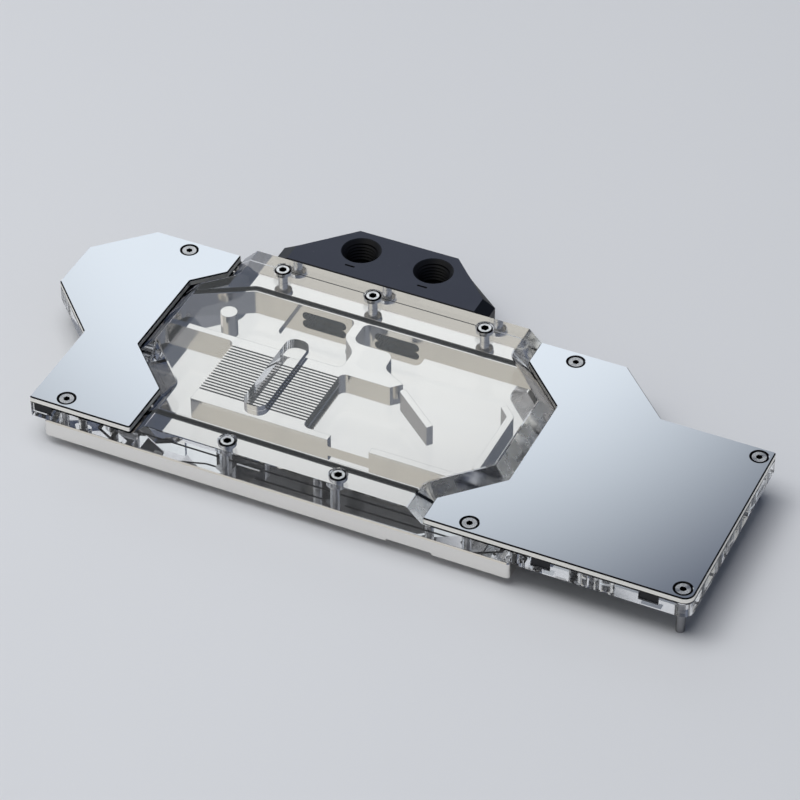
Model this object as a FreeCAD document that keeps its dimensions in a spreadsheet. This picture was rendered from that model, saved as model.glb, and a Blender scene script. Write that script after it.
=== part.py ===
import FreeCAD, Part

import math
import os

import Sketcher

# Full cover water block for a graphics card.
# A nickel plated copper cold plate carries the water channels and the fins. A clear acrylic top
# closes them, with a raised window between two polished metal covers, and a black terminal block
# with two G1/4 ports stands against the back edge.
# Frame: millimetres, X along the card, Y towards the terminal, Z up from the chip to the covers.
# The origin is the centre of the chip's contact face under the fins.

SHEET = "Sizes"
SPREAD = 0.001


class Size:
    """A length that holds its number and the sheet formula that gives it."""

    def __init__(self, number, formula):
        self.number = float(number)
        self.formula = formula

    def __add__(self, other):
        other = as_size(other)
        return Size(self.number + other.number, "(%s + %s)" % (self.formula, other.formula))

    __radd__ = __add__

    def __sub__(self, other):
        other = as_size(other)
        return Size(self.number - other.number, "(%s - %s)" % (self.formula, other.formula))

    def __rsub__(self, other):
        return as_size(other) - self

    def __mul__(self, other):
        other = as_size(other)
        return Size(self.number * other.number, "(%s * %s)" % (self.formula, other.formula))

    __rmul__ = __mul__

    def __truediv__(self, other):
        other = as_size(other)
        return Size(self.number / other.number, "(%s / %s)" % (self.formula, other.formula))

    def __neg__(self):
        return Size(-self.number, "(0 - %s)" % self.formula)


def as_size(value):
    """A plain number as a Size."""
    if isinstance(value, Size):
        return value
    return Size(value, "%.9f" % value)


def cosine(degrees):
    """Cosine of a Size given in degrees."""
    return Size(math.cos(math.radians(degrees.number)), "cos(%s * 1 deg)" % degrees.formula)


def sine(degrees):
    """Sine of a Size given in degrees."""
    return Size(math.sin(math.radians(degrees.number)), "sin(%s * 1 deg)" % degrees.formula)


# Driving dimensions, in millimetres: alias, value, note
DIMENSIONS = [
    # Heights above the chip's contact face
    ("standoff_drop", 2.0, "board plane below the contact face"),
    ("contact_rise", 1.2, "contact pads stand this far below the plate's rim"),
    ("plate_thick", 6.5, "rim thickness of the cold plate"),
    ("wing_thick", 5.2, "clear top under the covers"),
    ("window_rise", 5.2, "raised window above the wings"),
    ("cover_thick", 2.8, "metal covers"),
    ("top_film", 0.04, "air film between clear top and plate"),
    ("cover_film", 0.04, "air film between covers and wings"),
    # Cold plate
    ("plate_left", 61.7, "contact centre to the plate's left end"),
    ("plate_right", 105.4, "contact centre to the plate's right end"),
    ("plate_front", 42.7, "contact centre to the plate's front face"),
    ("plate_back", 56.3, "contact centre to the plate's back face"),
    ("plate_corner", 1.5, "plate corner radius"),
    ("plate_bevel", 0.4, "edge break of the plate"),
    ("pool_depth", 4.7, "inlet pool, left bay and front channel below the plate's top"),
    ("outlet_depth", 3.9, "outlet pool below the plate's top"),
    ("recess_depth", 6.0, "port recesses below the plate's top"),
    ("cutter", 2.5, "inside corner radius left by the end mill"),
    ("pool_left", 47.4, "contact centre to the pools' left wall"),
    ("pool_right", 94.6, "contact centre to the outlet pool's right wall"),
    ("pool_front", 26.5, "contact centre to the front channel's outer wall"),
    ("pool_back", 41.4, "contact centre to the pools' back wall"),
    ("pool_cut_front", 12.0, "corner cut of the front channel"),
    ("pool_cut_back", 16.0, "corner cut of the outlet pool"),
    ("slant_start", 25.4, "where the inlet pool's slanted wall meets its back wall"),
    ("ridge_front", 14.3, "contact centre to the ridge's front face"),
    ("ridge_thick", 2.4, "ridge between inlet pool and left bay"),
    ("dam_front", 17.9, "contact centre to the dam's front face"),
    ("dam_thick", 2.6, "dam between front channel and outlet pool"),
    ("dam_end", 80.0, "contact centre to the dam's free end"),
    ("weir_left", 30.2, "contact centre to the weir's left side"),
    ("weir_width", 14.8, "weir in the dam"),
    ("weir_depth", 2.7, "weir below the plate's top"),
    ("post_across", 5.9, "round post in the inlet pool"),
    ("post_x", -28.8, "post axis"),
    ("post_y", 27.8, "post axis"),
    # Fins
    ("fin_length", 39.6, "fin field along the card"),
    ("fin_pitch", 1.4, "slot to slot"),
    ("fin_slot", 0.7, "slot between two fins"),
    ("fin_depth", 3.3, "slot depth"),
    # Divider between the pools
    ("neck_left", 12.6, "divider's left face beside the ports"),
    ("neck_right", 16.1, "divider's right face beside the ports"),
    ("neck_turn", 32.0, "where the divider leaves its neck"),
    ("divider_left", 18.7, "divider's left face beside the fins"),
    ("neck_round", 5.5, "bends of the divider's left face"),
    ("shoulder_y", 30.8, "divider's shoulder"),
    ("shoulder_round", 3.4, "bends beside the divider's shoulder"),
    ("shoulder_x", 31.6, "divider's right face below the shoulder"),
    ("waist_y", 22.6, "narrowest place of the divider's right side"),
    ("divider_front", 14.4, "divider's front face"),
    ("tip_x", 40.9, "divider's tip"),
    ("tip_y", 17.7, "divider's tip"),
    # Guide vanes
    ("vane_thick", 2.3, "guide vanes"),
    ("bar_x", 42.6, "upper end of the slanted vane"),
    ("bar_y", 14.4, "upper end of the slanted vane"),
    ("bar_length", 19.6, "slanted vane"),
    ("bar_turn", 39.5, "slanted vane's angle to the card"),
    ("hook_x", 78.5, "hooked vane's face towards the fins"),
    ("hook_top", 18.0, "hooked vane's bend"),
    ("hook_bottom", 11.0, "hooked vane's lower end below the contact centre"),
    ("hook_reach", 6.0, "short leg of the hooked vane"),
    # Port recesses and passages
    ("recess_out", 12.2, "port axis to the outer end of its recess"),
    ("inlet_front", 29.3, "front edge of the inlet recess"),
    ("outlet_front", 32.4, "front edge of the outlet recess"),
    ("passage_tall", 3.4, "passages to the terminal block"),
    ("passage_height", 3.4, "passage axis above the contact face"),
    ("passage_width", 16.5, "passages to the terminal block"),
    # Seals
    ("groove_width", 2.5, "channel seal groove"),
    ("groove_depth", 1.8, "channel seal groove"),
    ("groove_land", 0.5, "wall between groove and pools"),
    ("seal_play", 0.1, "seal to groove wall"),
    ("seal_bend", 3.0, "bend radius at the middle of the seal"),
    ("seal_round", 0.4, "rounding of the pressed seals"),
    ("port_seal_width", 1.4, "seal round each passage"),
    ("port_seal_depth", 1.1, "seal round each passage"),
    ("port_seal_land", 0.4, "wall between passage and its seal"),
    # Jet slot
    ("jet_x", 1.2, "jet slot axis"),
    ("jet_width", 8.4, "jet slot"),
    ("jet_depth", 3.8, "jet slot in the clear top"),
    ("jet_front", 14.8, "contact centre to the jet slot's front end"),
    ("jet_back", 22.2, "contact centre to the jet slot's back end"),
    # Covers
    ("cover_front", 42.2, "contact centre to the covers' front edge"),
    ("cover_back", 54.2, "contact centre to the covers' back edge"),
    ("cover_gap", 0.3, "cover to the foot of the raised window"),
    ("cover_bevel", 0.4, "edge break of the covers"),
    ("cover_corner", 0.8, "corner radius of the covers"),
    ("right_corner", 3.5, "front right corner radius"),
    ("left_neck_back", 37.3, "left cover, inner edge at the back"),
    ("left_neck_front", 29.4, "left cover, inner edge at the front"),
    ("left_waist", 46.9, "left cover, inner edge at the middle"),
    ("left_turn_back", 43.9, "left cover, back turn"),
    ("left_turn_front", 20.6, "left cover, front turn"),
    ("left_foot", 66.7, "left cover, outer edge at the front"),
    ("left_step", 4.9, "left cover, where the outer edge slants out"),
    ("left_tip", 87.3, "left cover, outermost edge"),
    ("left_tip_back", 36.6, "left cover, back end of the outermost edge"),
    ("right_neck", 75.1, "right cover, inner edge at front and back"),
    ("right_waist", 92.5, "right cover, inner edge at the middle"),
    ("right_turn_back", 43.1, "right cover, back turn"),
    ("right_turn_front", 31.4, "right cover, front turn"),
    ("right_end", 165.7, "right cover, outer end"),
    ("right_shelf", 34.2, "right cover, back edge of the outer half"),
    ("right_shelf_end", 126.0, "right cover, where the shelf begins"),
    ("window_back", 56.3, "contact centre to the clear top's back face"),
    ("top_front", 42.1, "contact centre to the clear top's front face"),
    ("valley", 0.4, "radius at the foot of the window's inside corners"),
    ("window_bevel", 0.25, "edge break of the window's top and of its counterbores"),
    # Lamp notches in the clear top
    ("lamp_width", 6.8, "lamp notch"),
    ("lamp_deep", 3.2, "lamp notch below the wing's top"),
    ("lamp_reach", 9.0, "lamp notch from the front face"),
    ("lamp_left", 62.1, "left lamp notch"),
    ("lamp_mid", 115.5, "middle lamp notch"),
    ("lamp_right", 151.8, "right lamp notch"),
    ("blank_play", 0.1, "lamp blank to notch wall"),
    ("blank_back", 0.5, "lamp blank behind the front face"),
    # M3 screws
    ("thread_across", 3.0, "M3 shank"),
    ("bore_across", 3.3, "clear hole for M3"),
    ("tap_across", 3.0, "tapped hole for M3"),
    ("tap_play", 0.05, "shank to tapped wall"),
    ("head_across", 5.5, "M3 cap head"),
    ("head_tall", 3.0, "M3 cap head"),
    ("head_bevel", 0.45, "edge break of the cap head"),
    ("head_sink", 0.1, "cap head below the surface"),
    ("counter_across", 6.1, "counterbore for a cap head"),
    ("counter_seat", 0.05, "cap head above its seat"),
    ("flat_across", 5.7, "countersunk head"),
    ("flat_edge", 0.15, "straight rim of the countersunk head"),
    ("flat_neck", 0.05, "ledge between cone and shank"),
    ("flat_sink", 0.15, "countersunk head below the surface"),
    ("sink_across", 6.6, "countersink in the covers"),
    ("hex_cap", 2.5, "hex socket of the cap screws"),
    ("hex_flat", 2.0, "hex socket of the countersunk screws"),
    ("hex_deep", 1.5, "hex socket depth"),
    ("plate_bite", 4.5, "screw end below the plate's top"),
    ("tap_run", 0.5, "tapped hole beyond the screw's end"),
    ("row_front", 37.0, "front row of window screws"),
    ("row_back", 50.5, "back row of window screws"),
    ("front_screw_a", 3.7, "front row"),
    ("front_screw_b", 43.3, "front row"),
    ("back_screw_a", -19.5, "back row"),
    ("back_screw_b", 14.5, "back row"),
    ("back_screw_c", 56.0, "back row"),
    ("cover_inset_front", 4.3, "cover screws from the front edge"),
    ("cover_inset_back", 4.8, "cover screws from the back edge"),
    ("cover_inset_end", 4.3, "end screws from the covers' right edge"),
    ("left_screw", 55.0, "left cover screws"),
    ("right_screw", 89.5, "inner screws of the right cover"),
    ("wing_left", 55.6, "hidden screws under the left cover"),
    ("wing_right", 100.9, "hidden screws under the right cover"),
    ("wing_low", -14.0, "hidden screws, front row"),
    ("wing_high", 24.0, "hidden screws, back row"),
    # Terminal block
    ("terminal_gap", 0.2, "terminal block to the plate's back face"),
    ("terminal_foot", 1.0, "terminal block's foot below the contact face"),
    ("terminal_out", 26.1, "port axis to the block's side"),
    ("terminal_slope", 4.6, "width of the sloped ends"),
    ("terminal_fall", 2.4, "height of the sloped ends"),
    ("terminal_side", 7.7, "straight part of the sides"),
    ("terminal_deep", 24.6, "block from front to back"),
    ("terminal_cut", 16.5, "cut back corners of its top"),
    ("terminal_bevel", 0.4, "edge break of its top"),
    ("port_x", 0.5, "inlet port axis"),
    ("port_pitch", 27.2, "port to port"),
    ("port_back", 14.9, "port axis behind the plate's back face"),
    ("port_minor", 11.45, "G1/4 thread bore"),
    ("port_mouth", 14.1, "G1/4 mouth chamfer"),
    ("port_thread", 9.0, "threaded depth"),
    ("port_channel", 9.0, "channel under the thread"),
    ("boss_out", 18.2, "port axis to the terminal boss's end"),
    ("boss_front", 26.8, "terminal boss, front face under the inlet recess"),
    ("boss_step", 32.0, "terminal boss, front face under the outlet recess"),
    ("boss_drop", 0.6, "terminal boss below the contact face"),
    ("clamp_out", 14.7, "port axis to the terminal screw beside it"),
    ("clamp_height", 3.4, "terminal screws above the contact face"),
    ("clamp_seat", 10.5, "terminal screw heads' seat behind the plate's back face"),
    ("clamp_bite", 6.0, "terminal screws in the plate"),
    # Under the plate
    ("chip_pad", 34.0, "square contact pad of the chip"),
    ("pad_rise", 0.4, "memory and coil pads above the contact face"),
    ("memory_long", 14.0, "memory pad"),
    ("memory_wide", 11.0, "memory pad"),
    ("memory_out", 33.0, "memory pads from the contact centre"),
    ("memory_step", 16.0, "memory pad to memory pad"),
    ("coil_long", 72.0, "power stage pad"),
    ("coil_wide", 11.0, "power stage pad"),
    ("coil_x", 63.0, "power stage pads"),
    ("coil_step", 18.0, "power stage pad to power stage pad"),
    ("hole_pattern", 57.2, "board hole spacing round the chip"),
    ("standoff_across", 5.5, "board standoffs"),
    ("standoff_bore", 2.1, "M2.5 tapped bore of the standoffs"),
    ("standoff_stud", 2.5, "standoff stud in the plate"),
    ("stud_long", 1.4, "standoff stud in the plate"),
    ("edge_left", 56.5, "end standoffs, left"),
    ("edge_right", 100.0, "end standoffs, right"),
    ("edge_front", 30.0, "end standoffs, front"),
    ("edge_back", 42.0, "end standoffs, back"),
    ("relief_left", 62.6, "relief in the plate's lower front edge"),
    ("relief_width", 16.0, "relief in the plate's lower front edge"),
    ("relief_tall", 1.2, "relief in the plate's lower front edge"),
    ("relief_deep", 5.0, "relief in the plate's lower front edge"),
]

FIN_SLOTS = 18
HALF_CORNER = math.tan(math.radians(22.5))
DIAGONAL = math.sqrt(0.5)
SLANT = math.tan(math.radians(30.0))

doc = FreeCAD.newDocument("WaterBlock")
sheet = doc.addObject("Spreadsheet::Sheet", SHEET)
D = {}
for row, (alias, value, note) in enumerate(DIMENSIONS, start=2):
    sheet.set("A%d" % row, alias)
    sheet.set("B%d" % row, "%g" % value)
    sheet.set("C%d" % row, note)
    sheet.setAlias("B%d" % row, alias)
    D[alias] = Size(value, "%s.%s" % (SHEET, alias))
doc.recompute()

# Levels
PLATE_LOW = D["contact_rise"]
PLATE_TOP = PLATE_LOW + D["plate_thick"]
WING_TOP = PLATE_TOP + D["wing_thick"]
WINDOW_TOP = WING_TOP + D["window_rise"]
COVER_TOP = WING_TOP + D["cover_thick"]
TOP_LOW = PLATE_TOP + D["top_film"]
COVER_LOW = WING_TOP + D["cover_film"]
BOARD = -D["standoff_drop"]


def bind(thing, prop, value):
    """Set a property from a Size and bind it to the sheet."""
    value = as_size(value)
    thing.setExpression(prop, value.formula)


def base_plane(body, role):
    """One of the body's own origin planes."""
    for feature in body.Origin.OriginFeatures:
        if feature.Role == role:
            return feature
    raise ValueError("no plane " + role)


def new_body(label):
    """A part design body named after its node."""
    body = doc.addObject("PartDesign::Body", label)
    body.Label = label
    body.AllowCompound = True
    return body


def line(point):
    """Straight side that starts at a point."""
    return ("line", point)


def arc(point, centre, radius, left_turn):
    """Round side that starts at a point and turns about a centre."""
    return ("arc", point, centre, radius, left_turn)


def unit(first, second):
    """Direction from one point to another, as plain numbers."""
    dx = second[0].number - first[0].number
    dy = second[1].number - first[1].number
    span = math.hypot(dx, dy)
    return dx / span, dy / span


def offset(points, distance):
    """A polygon moved outwards by a distance; its points run anticlockwise."""
    moved = []
    for i, corner in enumerate(points):
        ax, ay = unit(points[i - 1], corner)
        bx, by = unit(corner, points[(i + 1) % len(points)])
        share = 1.0 + ax * bx + ay * by
        moved.append((corner[0] + distance * ((ay + by) / share),
                      corner[1] - distance * ((ax + bx) / share)))
    return moved


def rounded(points, radii):
    """The sides of a polygon with round corners; a radius of None keeps a corner sharp."""
    sides = []
    for i, corner in enumerate(points):
        radius = radii[i] if isinstance(radii, (list, tuple)) else radii
        if radius is None:
            sides.append(line(corner))
            continue
        radius = as_size(radius)
        ax, ay = unit(points[i - 1], corner)
        bx, by = unit(corner, points[(i + 1) % len(points)])
        cross = ax * by - ay * bx
        reach = math.tan(math.acos(max(-1.0, min(1.0, ax * bx + ay * by))) / 2.0)
        turn = 1.0 if cross > 0 else -1.0
        start = (corner[0] - radius * (reach * ax), corner[1] - radius * (reach * ay))
        end = (corner[0] + radius * (reach * bx), corner[1] + radius * (reach * by))
        centre = (start[0] - radius * (turn * ay), start[1] + radius * (turn * ax))
        sides.append(arc(start, centre, radius, turn > 0))
        sides.append(line(end))
    return sides


def stadium(left, right, middle, height):
    """A slot with round ends, along the sketch's first axis."""
    half = height / 2
    return [line((left + half, middle - half)),
            arc((right - half, middle - half), (right - half, middle), half, True),
            line((right - half, middle + half)),
            arc((left + half, middle + half), (left + half, middle), half, True)]


def rectangle(left, right, front, back):
    """Corner points of a rectangle."""
    return [(left, front), (right, front), (right, back), (left, back)]


def new_sketch(body, name, role="XY_Plane", height=None):
    """An empty sketch on one of the body's planes, moved along the plane's normal."""
    sketch = body.newObject("Sketcher::SketchObject", name)
    sketch.AttachmentSupport = (base_plane(body, role), [""])
    sketch.MapMode = "FlatFace"
    if height is not None:
        bind(sketch, ".AttachmentOffset.Base.z", height)
    return sketch


def place_point(sketch, side, end, point):
    """Hold a point of the sketch at its bound place."""
    for kind, value in (("DistanceX", point[0]), ("DistanceY", point[1])):
        index = sketch.addConstraint(Sketcher.Constraint(kind, -1, 1, side, end, value.number))
        sketch.setExpression("Constraints[%d]" % index, value.formula)


def hold_centre(sketch, index, side, end):
    """Hold an arc's centre in the one direction that its two ends leave free."""
    start, centre = side[1], side[2]
    wide = abs(end[0].number - start[0].number)
    tall = abs(end[1].number - start[1].number)
    kind, value = ("DistanceX", centre[0]) if tall > wide else ("DistanceY", centre[1])
    held = sketch.addConstraint(Sketcher.Constraint(kind, -1, 1, index, 3, value.number))
    sketch.setExpression("Constraints[%d]" % held, value.formula)


def draw_loop(sketch, sides):
    """Add a closed loop of straight and round sides, each corner bound to the sheet."""
    first = sketch.GeometryCount
    count = len(sides)
    for i, side in enumerate(sides):
        start = FreeCAD.Vector(side[1][0].number, side[1][1].number, 0)
        target = sides[(i + 1) % count][1]
        end = FreeCAD.Vector(target[0].number, target[1].number, 0)
        if side[0] == "line":
            sketch.addGeometry(Part.LineSegment(start, end), False)
            continue
        centre = FreeCAD.Vector(side[2][0].number, side[2][1].number, 0)
        a = math.atan2(start.y - centre.y, start.x - centre.x)
        b = math.atan2(end.y - centre.y, end.x - centre.x)
        if not side[4]:
            a, b = b, a
        while b < a:
            b += 2 * math.pi
        circle = Part.Circle(centre, FreeCAD.Vector(0, 0, 1), side[3].number)
        sketch.addGeometry(Part.ArcOfCircle(circle, a, b), False)
    for i, side in enumerate(sides):
        after = (i + 1) % count
        my_end = 1 if side[0] == "arc" and not side[4] else 2
        next_side = sides[after]
        next_start = 2 if next_side[0] == "arc" and not next_side[4] else 1
        sketch.addConstraint(Sketcher.Constraint("Coincident", first + i, my_end,
                                                 first + after, next_start))
    for i, side in enumerate(sides):
        my_start = 2 if side[0] == "arc" and not side[4] else 1
        place_point(sketch, first + i, my_start, side[1])
        if side[0] == "arc":
            hold_centre(sketch, first + i, side, sides[(i + 1) % count][1])


def draw_circle(sketch, x, y, across):
    """Add a circle bound to the sheet."""
    x, y, across = as_size(x), as_size(y), as_size(across)
    centre = FreeCAD.Vector(x.number, y.number, 0)
    circle = Part.Circle(centre, FreeCAD.Vector(0, 0, 1), across.number / 2)
    side = sketch.addGeometry(circle, False)
    place_point(sketch, side, 3, (x, y))
    index = sketch.addConstraint(Sketcher.Constraint("Diameter", side, across.number))
    sketch.setExpression("Constraints[%d]" % index, across.formula)


def draw_hexagon(sketch, x, y, across):
    """Add a hexagon of a given width across its flats."""
    reach = across / math.sqrt(3.0)
    corners = []
    for i in range(6):
        turn = math.radians(60 * i)
        corners.append((x + reach * math.cos(turn), y + reach * math.sin(turn)))
    draw_loop(sketch, rounded(corners, None))


def pad(body, name, sketch, length):
    """Raise a sketch along its normal."""
    feature = body.newObject("PartDesign::Pad", name)
    feature.Profile = sketch
    bind(feature, "Length", length)
    doc.recompute()
    return feature


def cut(body, name, sketch, depth, reverse=False):
    """Cut a sketch into the body and make sure that it took something away."""
    before = body.Tip.Shape.Volume
    feature = body.newObject("PartDesign::Pocket", name)
    feature.Profile = sketch
    feature.Reversed = reverse
    bind(feature, "Length", depth)
    doc.recompute()
    if not feature.Shape.Volume < before - SPREAD:
        raise ValueError("nothing cut by " + name)
    return feature


def edges_where(shape, test):
    """Names of the edges that pass a test."""
    return ["Edge%d" % (i + 1) for i, edge in enumerate(shape.Edges) if test(edge)]


def in_level(edge, height):
    """True for an edge that lies in a level plane."""
    box = edge.BoundBox
    return abs(box.ZMin - height.number) < SPREAD and abs(box.ZMax - height.number) < SPREAD


def dress(body, name, kind, edges, size):
    """Fillet or chamfer the named edges of the body's last feature."""
    base = body.Tip
    feature = body.newObject("PartDesign::" + kind, name)
    feature.Base = (base, edges)
    bind(feature, "Radius" if kind == "Fillet" else "Size", size)
    doc.recompute()
    return feature


# Shared places

def seal_corners():
    """Corner points of the pools' outer wall, anticlockwise from the left bay's front."""
    left, right = -D["pool_left"], D["pool_right"]
    front, back = -D["pool_front"], D["pool_back"]
    cut_f, cut_b = D["pool_cut_front"], D["pool_cut_back"]
    slant_y = back - (D["pool_left"] - D["slant_start"]) * SLANT
    return [(left + cut_f, front), (right - cut_f, front), (right, front + cut_f),
            (right, back - cut_b), (right - cut_b, back), (-D["slant_start"], back),
            (left, slant_y), (left, front + cut_f)]


def window_screw_places():
    """Back row, then front row."""
    back = [(D[key], D["row_back"]) for key in ("back_screw_a", "back_screw_b", "back_screw_c")]
    front = [(D[key], -D["row_front"]) for key in ("front_screw_a", "front_screw_b")]
    return back, front


def cover_screw_places():
    """Screws of the left cover, inner screws of the right cover, and its end screws."""
    front = D["cover_inset_front"] - D["cover_front"]
    back = D["cover_back"] - D["cover_inset_back"]
    end_x = D["right_end"] - D["cover_inset_end"]
    shelf = D["right_shelf"] - D["cover_inset_end"]
    left = [(-D["left_screw"], front), (-D["left_screw"], back)]
    right = [(D["right_screw"], front), (D["right_screw"], back)]
    ends = [(end_x, front), (end_x, shelf)]
    return left, right, ends


def wing_screw_places():
    """Hidden screws that hold the clear top to the plate under the covers."""
    left = [(-D["wing_left"], D["wing_low"]), (-D["wing_left"], D["wing_high"])]
    right = [(D["wing_right"], D["wing_low"]), (D["wing_right"], D["wing_high"])]
    return left, right


def ports():
    """Inlet and outlet port axes along the card."""
    return [D["port_x"], D["port_x"] + D["port_pitch"]]


def lamp_places():
    """Lamp notches along the front face."""
    return [-D["lamp_left"], D["lamp_mid"], D["lamp_right"]]


def clamp_places():
    """Terminal screws, as places on the plate's back face."""
    inlet, outlet = ports()
    return [(inlet - D["clamp_out"], D["clamp_height"]),
            (outlet + D["clamp_out"], D["clamp_height"])]


def passages():
    """Left and right end of both water passages."""
    half = D["passage_width"] / 2
    return [(x - half, x + half) for x in ports()]


def chip_standoffs():
    """Standoffs on the board's hole pattern round the chip."""
    half = D["hole_pattern"] / 2
    return [(-half, -half), (half, -half), (half, half), (-half, half)]


def end_standoffs():
    """Standoffs at the ends of the plate."""
    return [(-D["edge_left"], -D["edge_front"]), (-D["edge_left"], D["edge_back"]),
            (D["edge_right"], -D["edge_front"]), (D["edge_right"], D["edge_back"])]


# Cold plate

def cold_plate():
    """Copper plate with pools, vanes and fins above and contact pads below."""
    body = new_body("cold_plate")
    sketch = new_sketch(body, "PlateOutline", height=PLATE_LOW)
    corners = rectangle(-D["plate_left"], D["plate_right"], -D["plate_front"], D["plate_back"])
    draw_loop(sketch, rounded(corners, D["plate_corner"]))
    pad(body, "PlateBlank", sketch, D["plate_thick"])
    bevels = edges_where(body.Tip.Shape, lambda e: in_level(e, PLATE_TOP) or in_level(e, PLATE_LOW))
    dress(body, "PlateBevel", "Chamfer", bevels, D["plate_bevel"])

    plate_pools(body)
    plate_passages(body)
    plate_fins(body)
    plate_groove(body)
    plate_underside(body)
    plate_screw_holes(body)
    return body


def plate_pools(body):
    """Inlet pool, left bay with front channel, and outlet pool."""
    left, back = -D["pool_left"], D["pool_back"]
    ridge_back = D["ridge_front"] + D["ridge_thick"]
    fin_end = D["fin_length"] / 2
    wall = seal_corners()
    slant_y = wall[6][1]
    turn = D["cutter"]

    # Inlet pool behind the fins, round its post
    sketch = new_sketch(body, "InletPool", height=PLATE_TOP)
    bend = D["divider_left"] - D["neck_left"]
    loop = [(left, ridge_back), (D["divider_left"], ridge_back),
            (D["divider_left"], D["neck_turn"] - bend), (D["neck_left"], D["neck_turn"]),
            (D["neck_left"], back), (-D["slant_start"], back), (left, slant_y)]
    neck = D["neck_round"]
    draw_loop(sketch, rounded(loop, [turn, turn, neck, neck, turn, turn, turn]))
    draw_circle(sketch, D["post_x"], D["post_y"], D["post_across"])
    cut(body, "InletPoolCut", sketch, D["pool_depth"])

    # Left bay and front channel, round the fin block's corner
    sketch = new_sketch(body, "FrontChannel", height=PLATE_TOP)
    dam_front = -D["dam_front"]
    loop = [wall[0], (D["dam_end"], -D["pool_front"]), (D["dam_end"], dam_front),
            (-fin_end, dam_front), (-fin_end, D["ridge_front"]), (left, D["ridge_front"]), wall[7]]
    draw_loop(sketch, rounded(loop, [turn, None, None, None, turn, turn, turn]))
    cut(body, "FrontChannelCut", sketch, D["pool_depth"])

    # Outlet pool with its two vanes left standing
    sketch = new_sketch(body, "OutletPool", height=PLATE_TOP)
    dam_back = dam_front + D["dam_thick"]
    slope = D["tip_y"] - D["divider_front"]
    waist_x = D["shoulder_x"] + 0.4
    loop = [(D["dam_end"], -D["pool_front"]), wall[1], wall[2], wall[3], wall[4],
            (D["neck_right"], back), (D["neck_right"], D["shoulder_y"]),
            (D["shoulder_x"], D["shoulder_y"]), (waist_x, D["waist_y"]),
            (D["tip_x"], D["tip_y"]), (D["tip_x"] - slope, D["divider_front"]),
            (fin_end, D["divider_front"]), (fin_end, dam_back), (D["dam_end"], dam_back)]
    bend = D["shoulder_round"]
    radii = [None, turn, turn, turn, turn, turn, bend, bend, bend, None, None, turn, turn, None]
    draw_loop(sketch, rounded(loop, radii))
    draw_loop(sketch, slanted_vane())
    draw_loop(sketch, hooked_vane())
    cut(body, "OutletPoolCut", sketch, D["outlet_depth"])

    # Weir that lets the front channel into the outlet pool
    sketch = new_sketch(body, "Weir", height=PLATE_TOP)
    over = D["cutter"] / 2
    loop = rectangle(D["weir_left"], D["weir_left"] + D["weir_width"],
                     dam_front - over, dam_back + over)
    draw_loop(sketch, rounded(loop, None))
    cut(body, "WeirCut", sketch, D["weir_depth"])


def slanted_vane():
    """The straight vane beside the divider's tip, with round ends."""
    turn = D["bar_turn"]
    along = (cosine(turn), -sine(turn))
    across = (sine(turn), cosine(turn))
    half = D["vane_thick"] / 2
    x0, y0 = D["bar_x"], D["bar_y"]
    x1 = x0 + D["bar_length"] * along[0]
    y1 = y0 + D["bar_length"] * along[1]
    a = (x0 - half * across[0], y0 - half * across[1])
    b = (x1 - half * across[0], y1 - half * across[1])
    c = (x1 + half * across[0], y1 + half * across[1])
    d = (x0 + half * across[0], y0 + half * across[1])
    return [line(a), line(b), line(c), arc(d, (x0, y0), half, True)]


def hooked_vane():
    """The long vane across the outlet pool, bent towards the ports at its upper end."""
    thick = D["vane_thick"]
    x0, x1 = D["hook_x"], D["hook_x"] + thick
    inner = D["hook_top"] - thick * HALF_CORNER
    reach = D["hook_reach"] * DIAGONAL
    step = thick * DIAGONAL
    loop = [(x0, -D["hook_bottom"]), (x1, -D["hook_bottom"]), (x1, D["hook_top"]),
            (x1 - reach, D["hook_top"] + reach), (x1 - reach - step, D["hook_top"] + reach - step),
            (x0, inner)]
    return rounded(loop, [None, None, thick, None, None, thick * 0.4])


def plate_passages(body):
    """Deeper recess in front of each port passage, and the passages through the back wall."""
    back = D["pool_back"]
    turn = D["cutter"]
    # Thicker plate under both recesses; it also carries the terminal block's seals
    sketch = new_sketch(body, "TerminalBoss", height=-D["boss_drop"])
    middle = (D["neck_left"] + D["neck_right"]) / 2
    boss_left, boss_right = ports()[0] - D["boss_out"], ports()[1] + D["boss_out"]
    loop = [(boss_left, D["boss_front"]), (middle, D["boss_front"]),
            (middle, D["boss_step"]), (boss_right, D["boss_step"]),
            (boss_right, D["plate_back"]), (boss_left, D["plate_back"])]
    draw_loop(sketch, rounded(loop, None))
    pad(body, "TerminalBossPad", sketch, D["boss_drop"] + D["contact_rise"] + D["plate_bevel"])

    sketch = new_sketch(body, "InletRecess", height=PLATE_TOP)
    bend = D["neck_turn"] - D["inlet_front"]
    left = ports()[0] - D["recess_out"]
    loop = [(left, D["inlet_front"]), (D["neck_left"] + bend, D["inlet_front"]),
            (D["neck_left"], D["neck_turn"]), (D["neck_left"], back), (left, back)]
    draw_loop(sketch, rounded(loop, [turn, None, turn, turn, None]))
    cut(body, "InletRecessCut", sketch, D["recess_depth"])

    sketch = new_sketch(body, "OutletRecess", height=PLATE_TOP)
    right = ports()[1] + D["recess_out"]
    loop = rectangle(D["neck_right"], right, D["outlet_front"], back)
    draw_loop(sketch, rounded(loop, [turn, turn, None, turn]))
    cut(body, "OutletRecessCut", sketch, D["recess_depth"])

    sketch = new_sketch(body, "Passages", "XZ_Plane", height=-D["plate_back"])
    for left, right in passages():
        draw_loop(sketch, stadium(left, right, D["passage_height"], D["passage_tall"]))
    cut(body, "PassageCut", sketch, D["plate_back"] - D["pool_back"] + D["cutter"], reverse=True)


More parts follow.
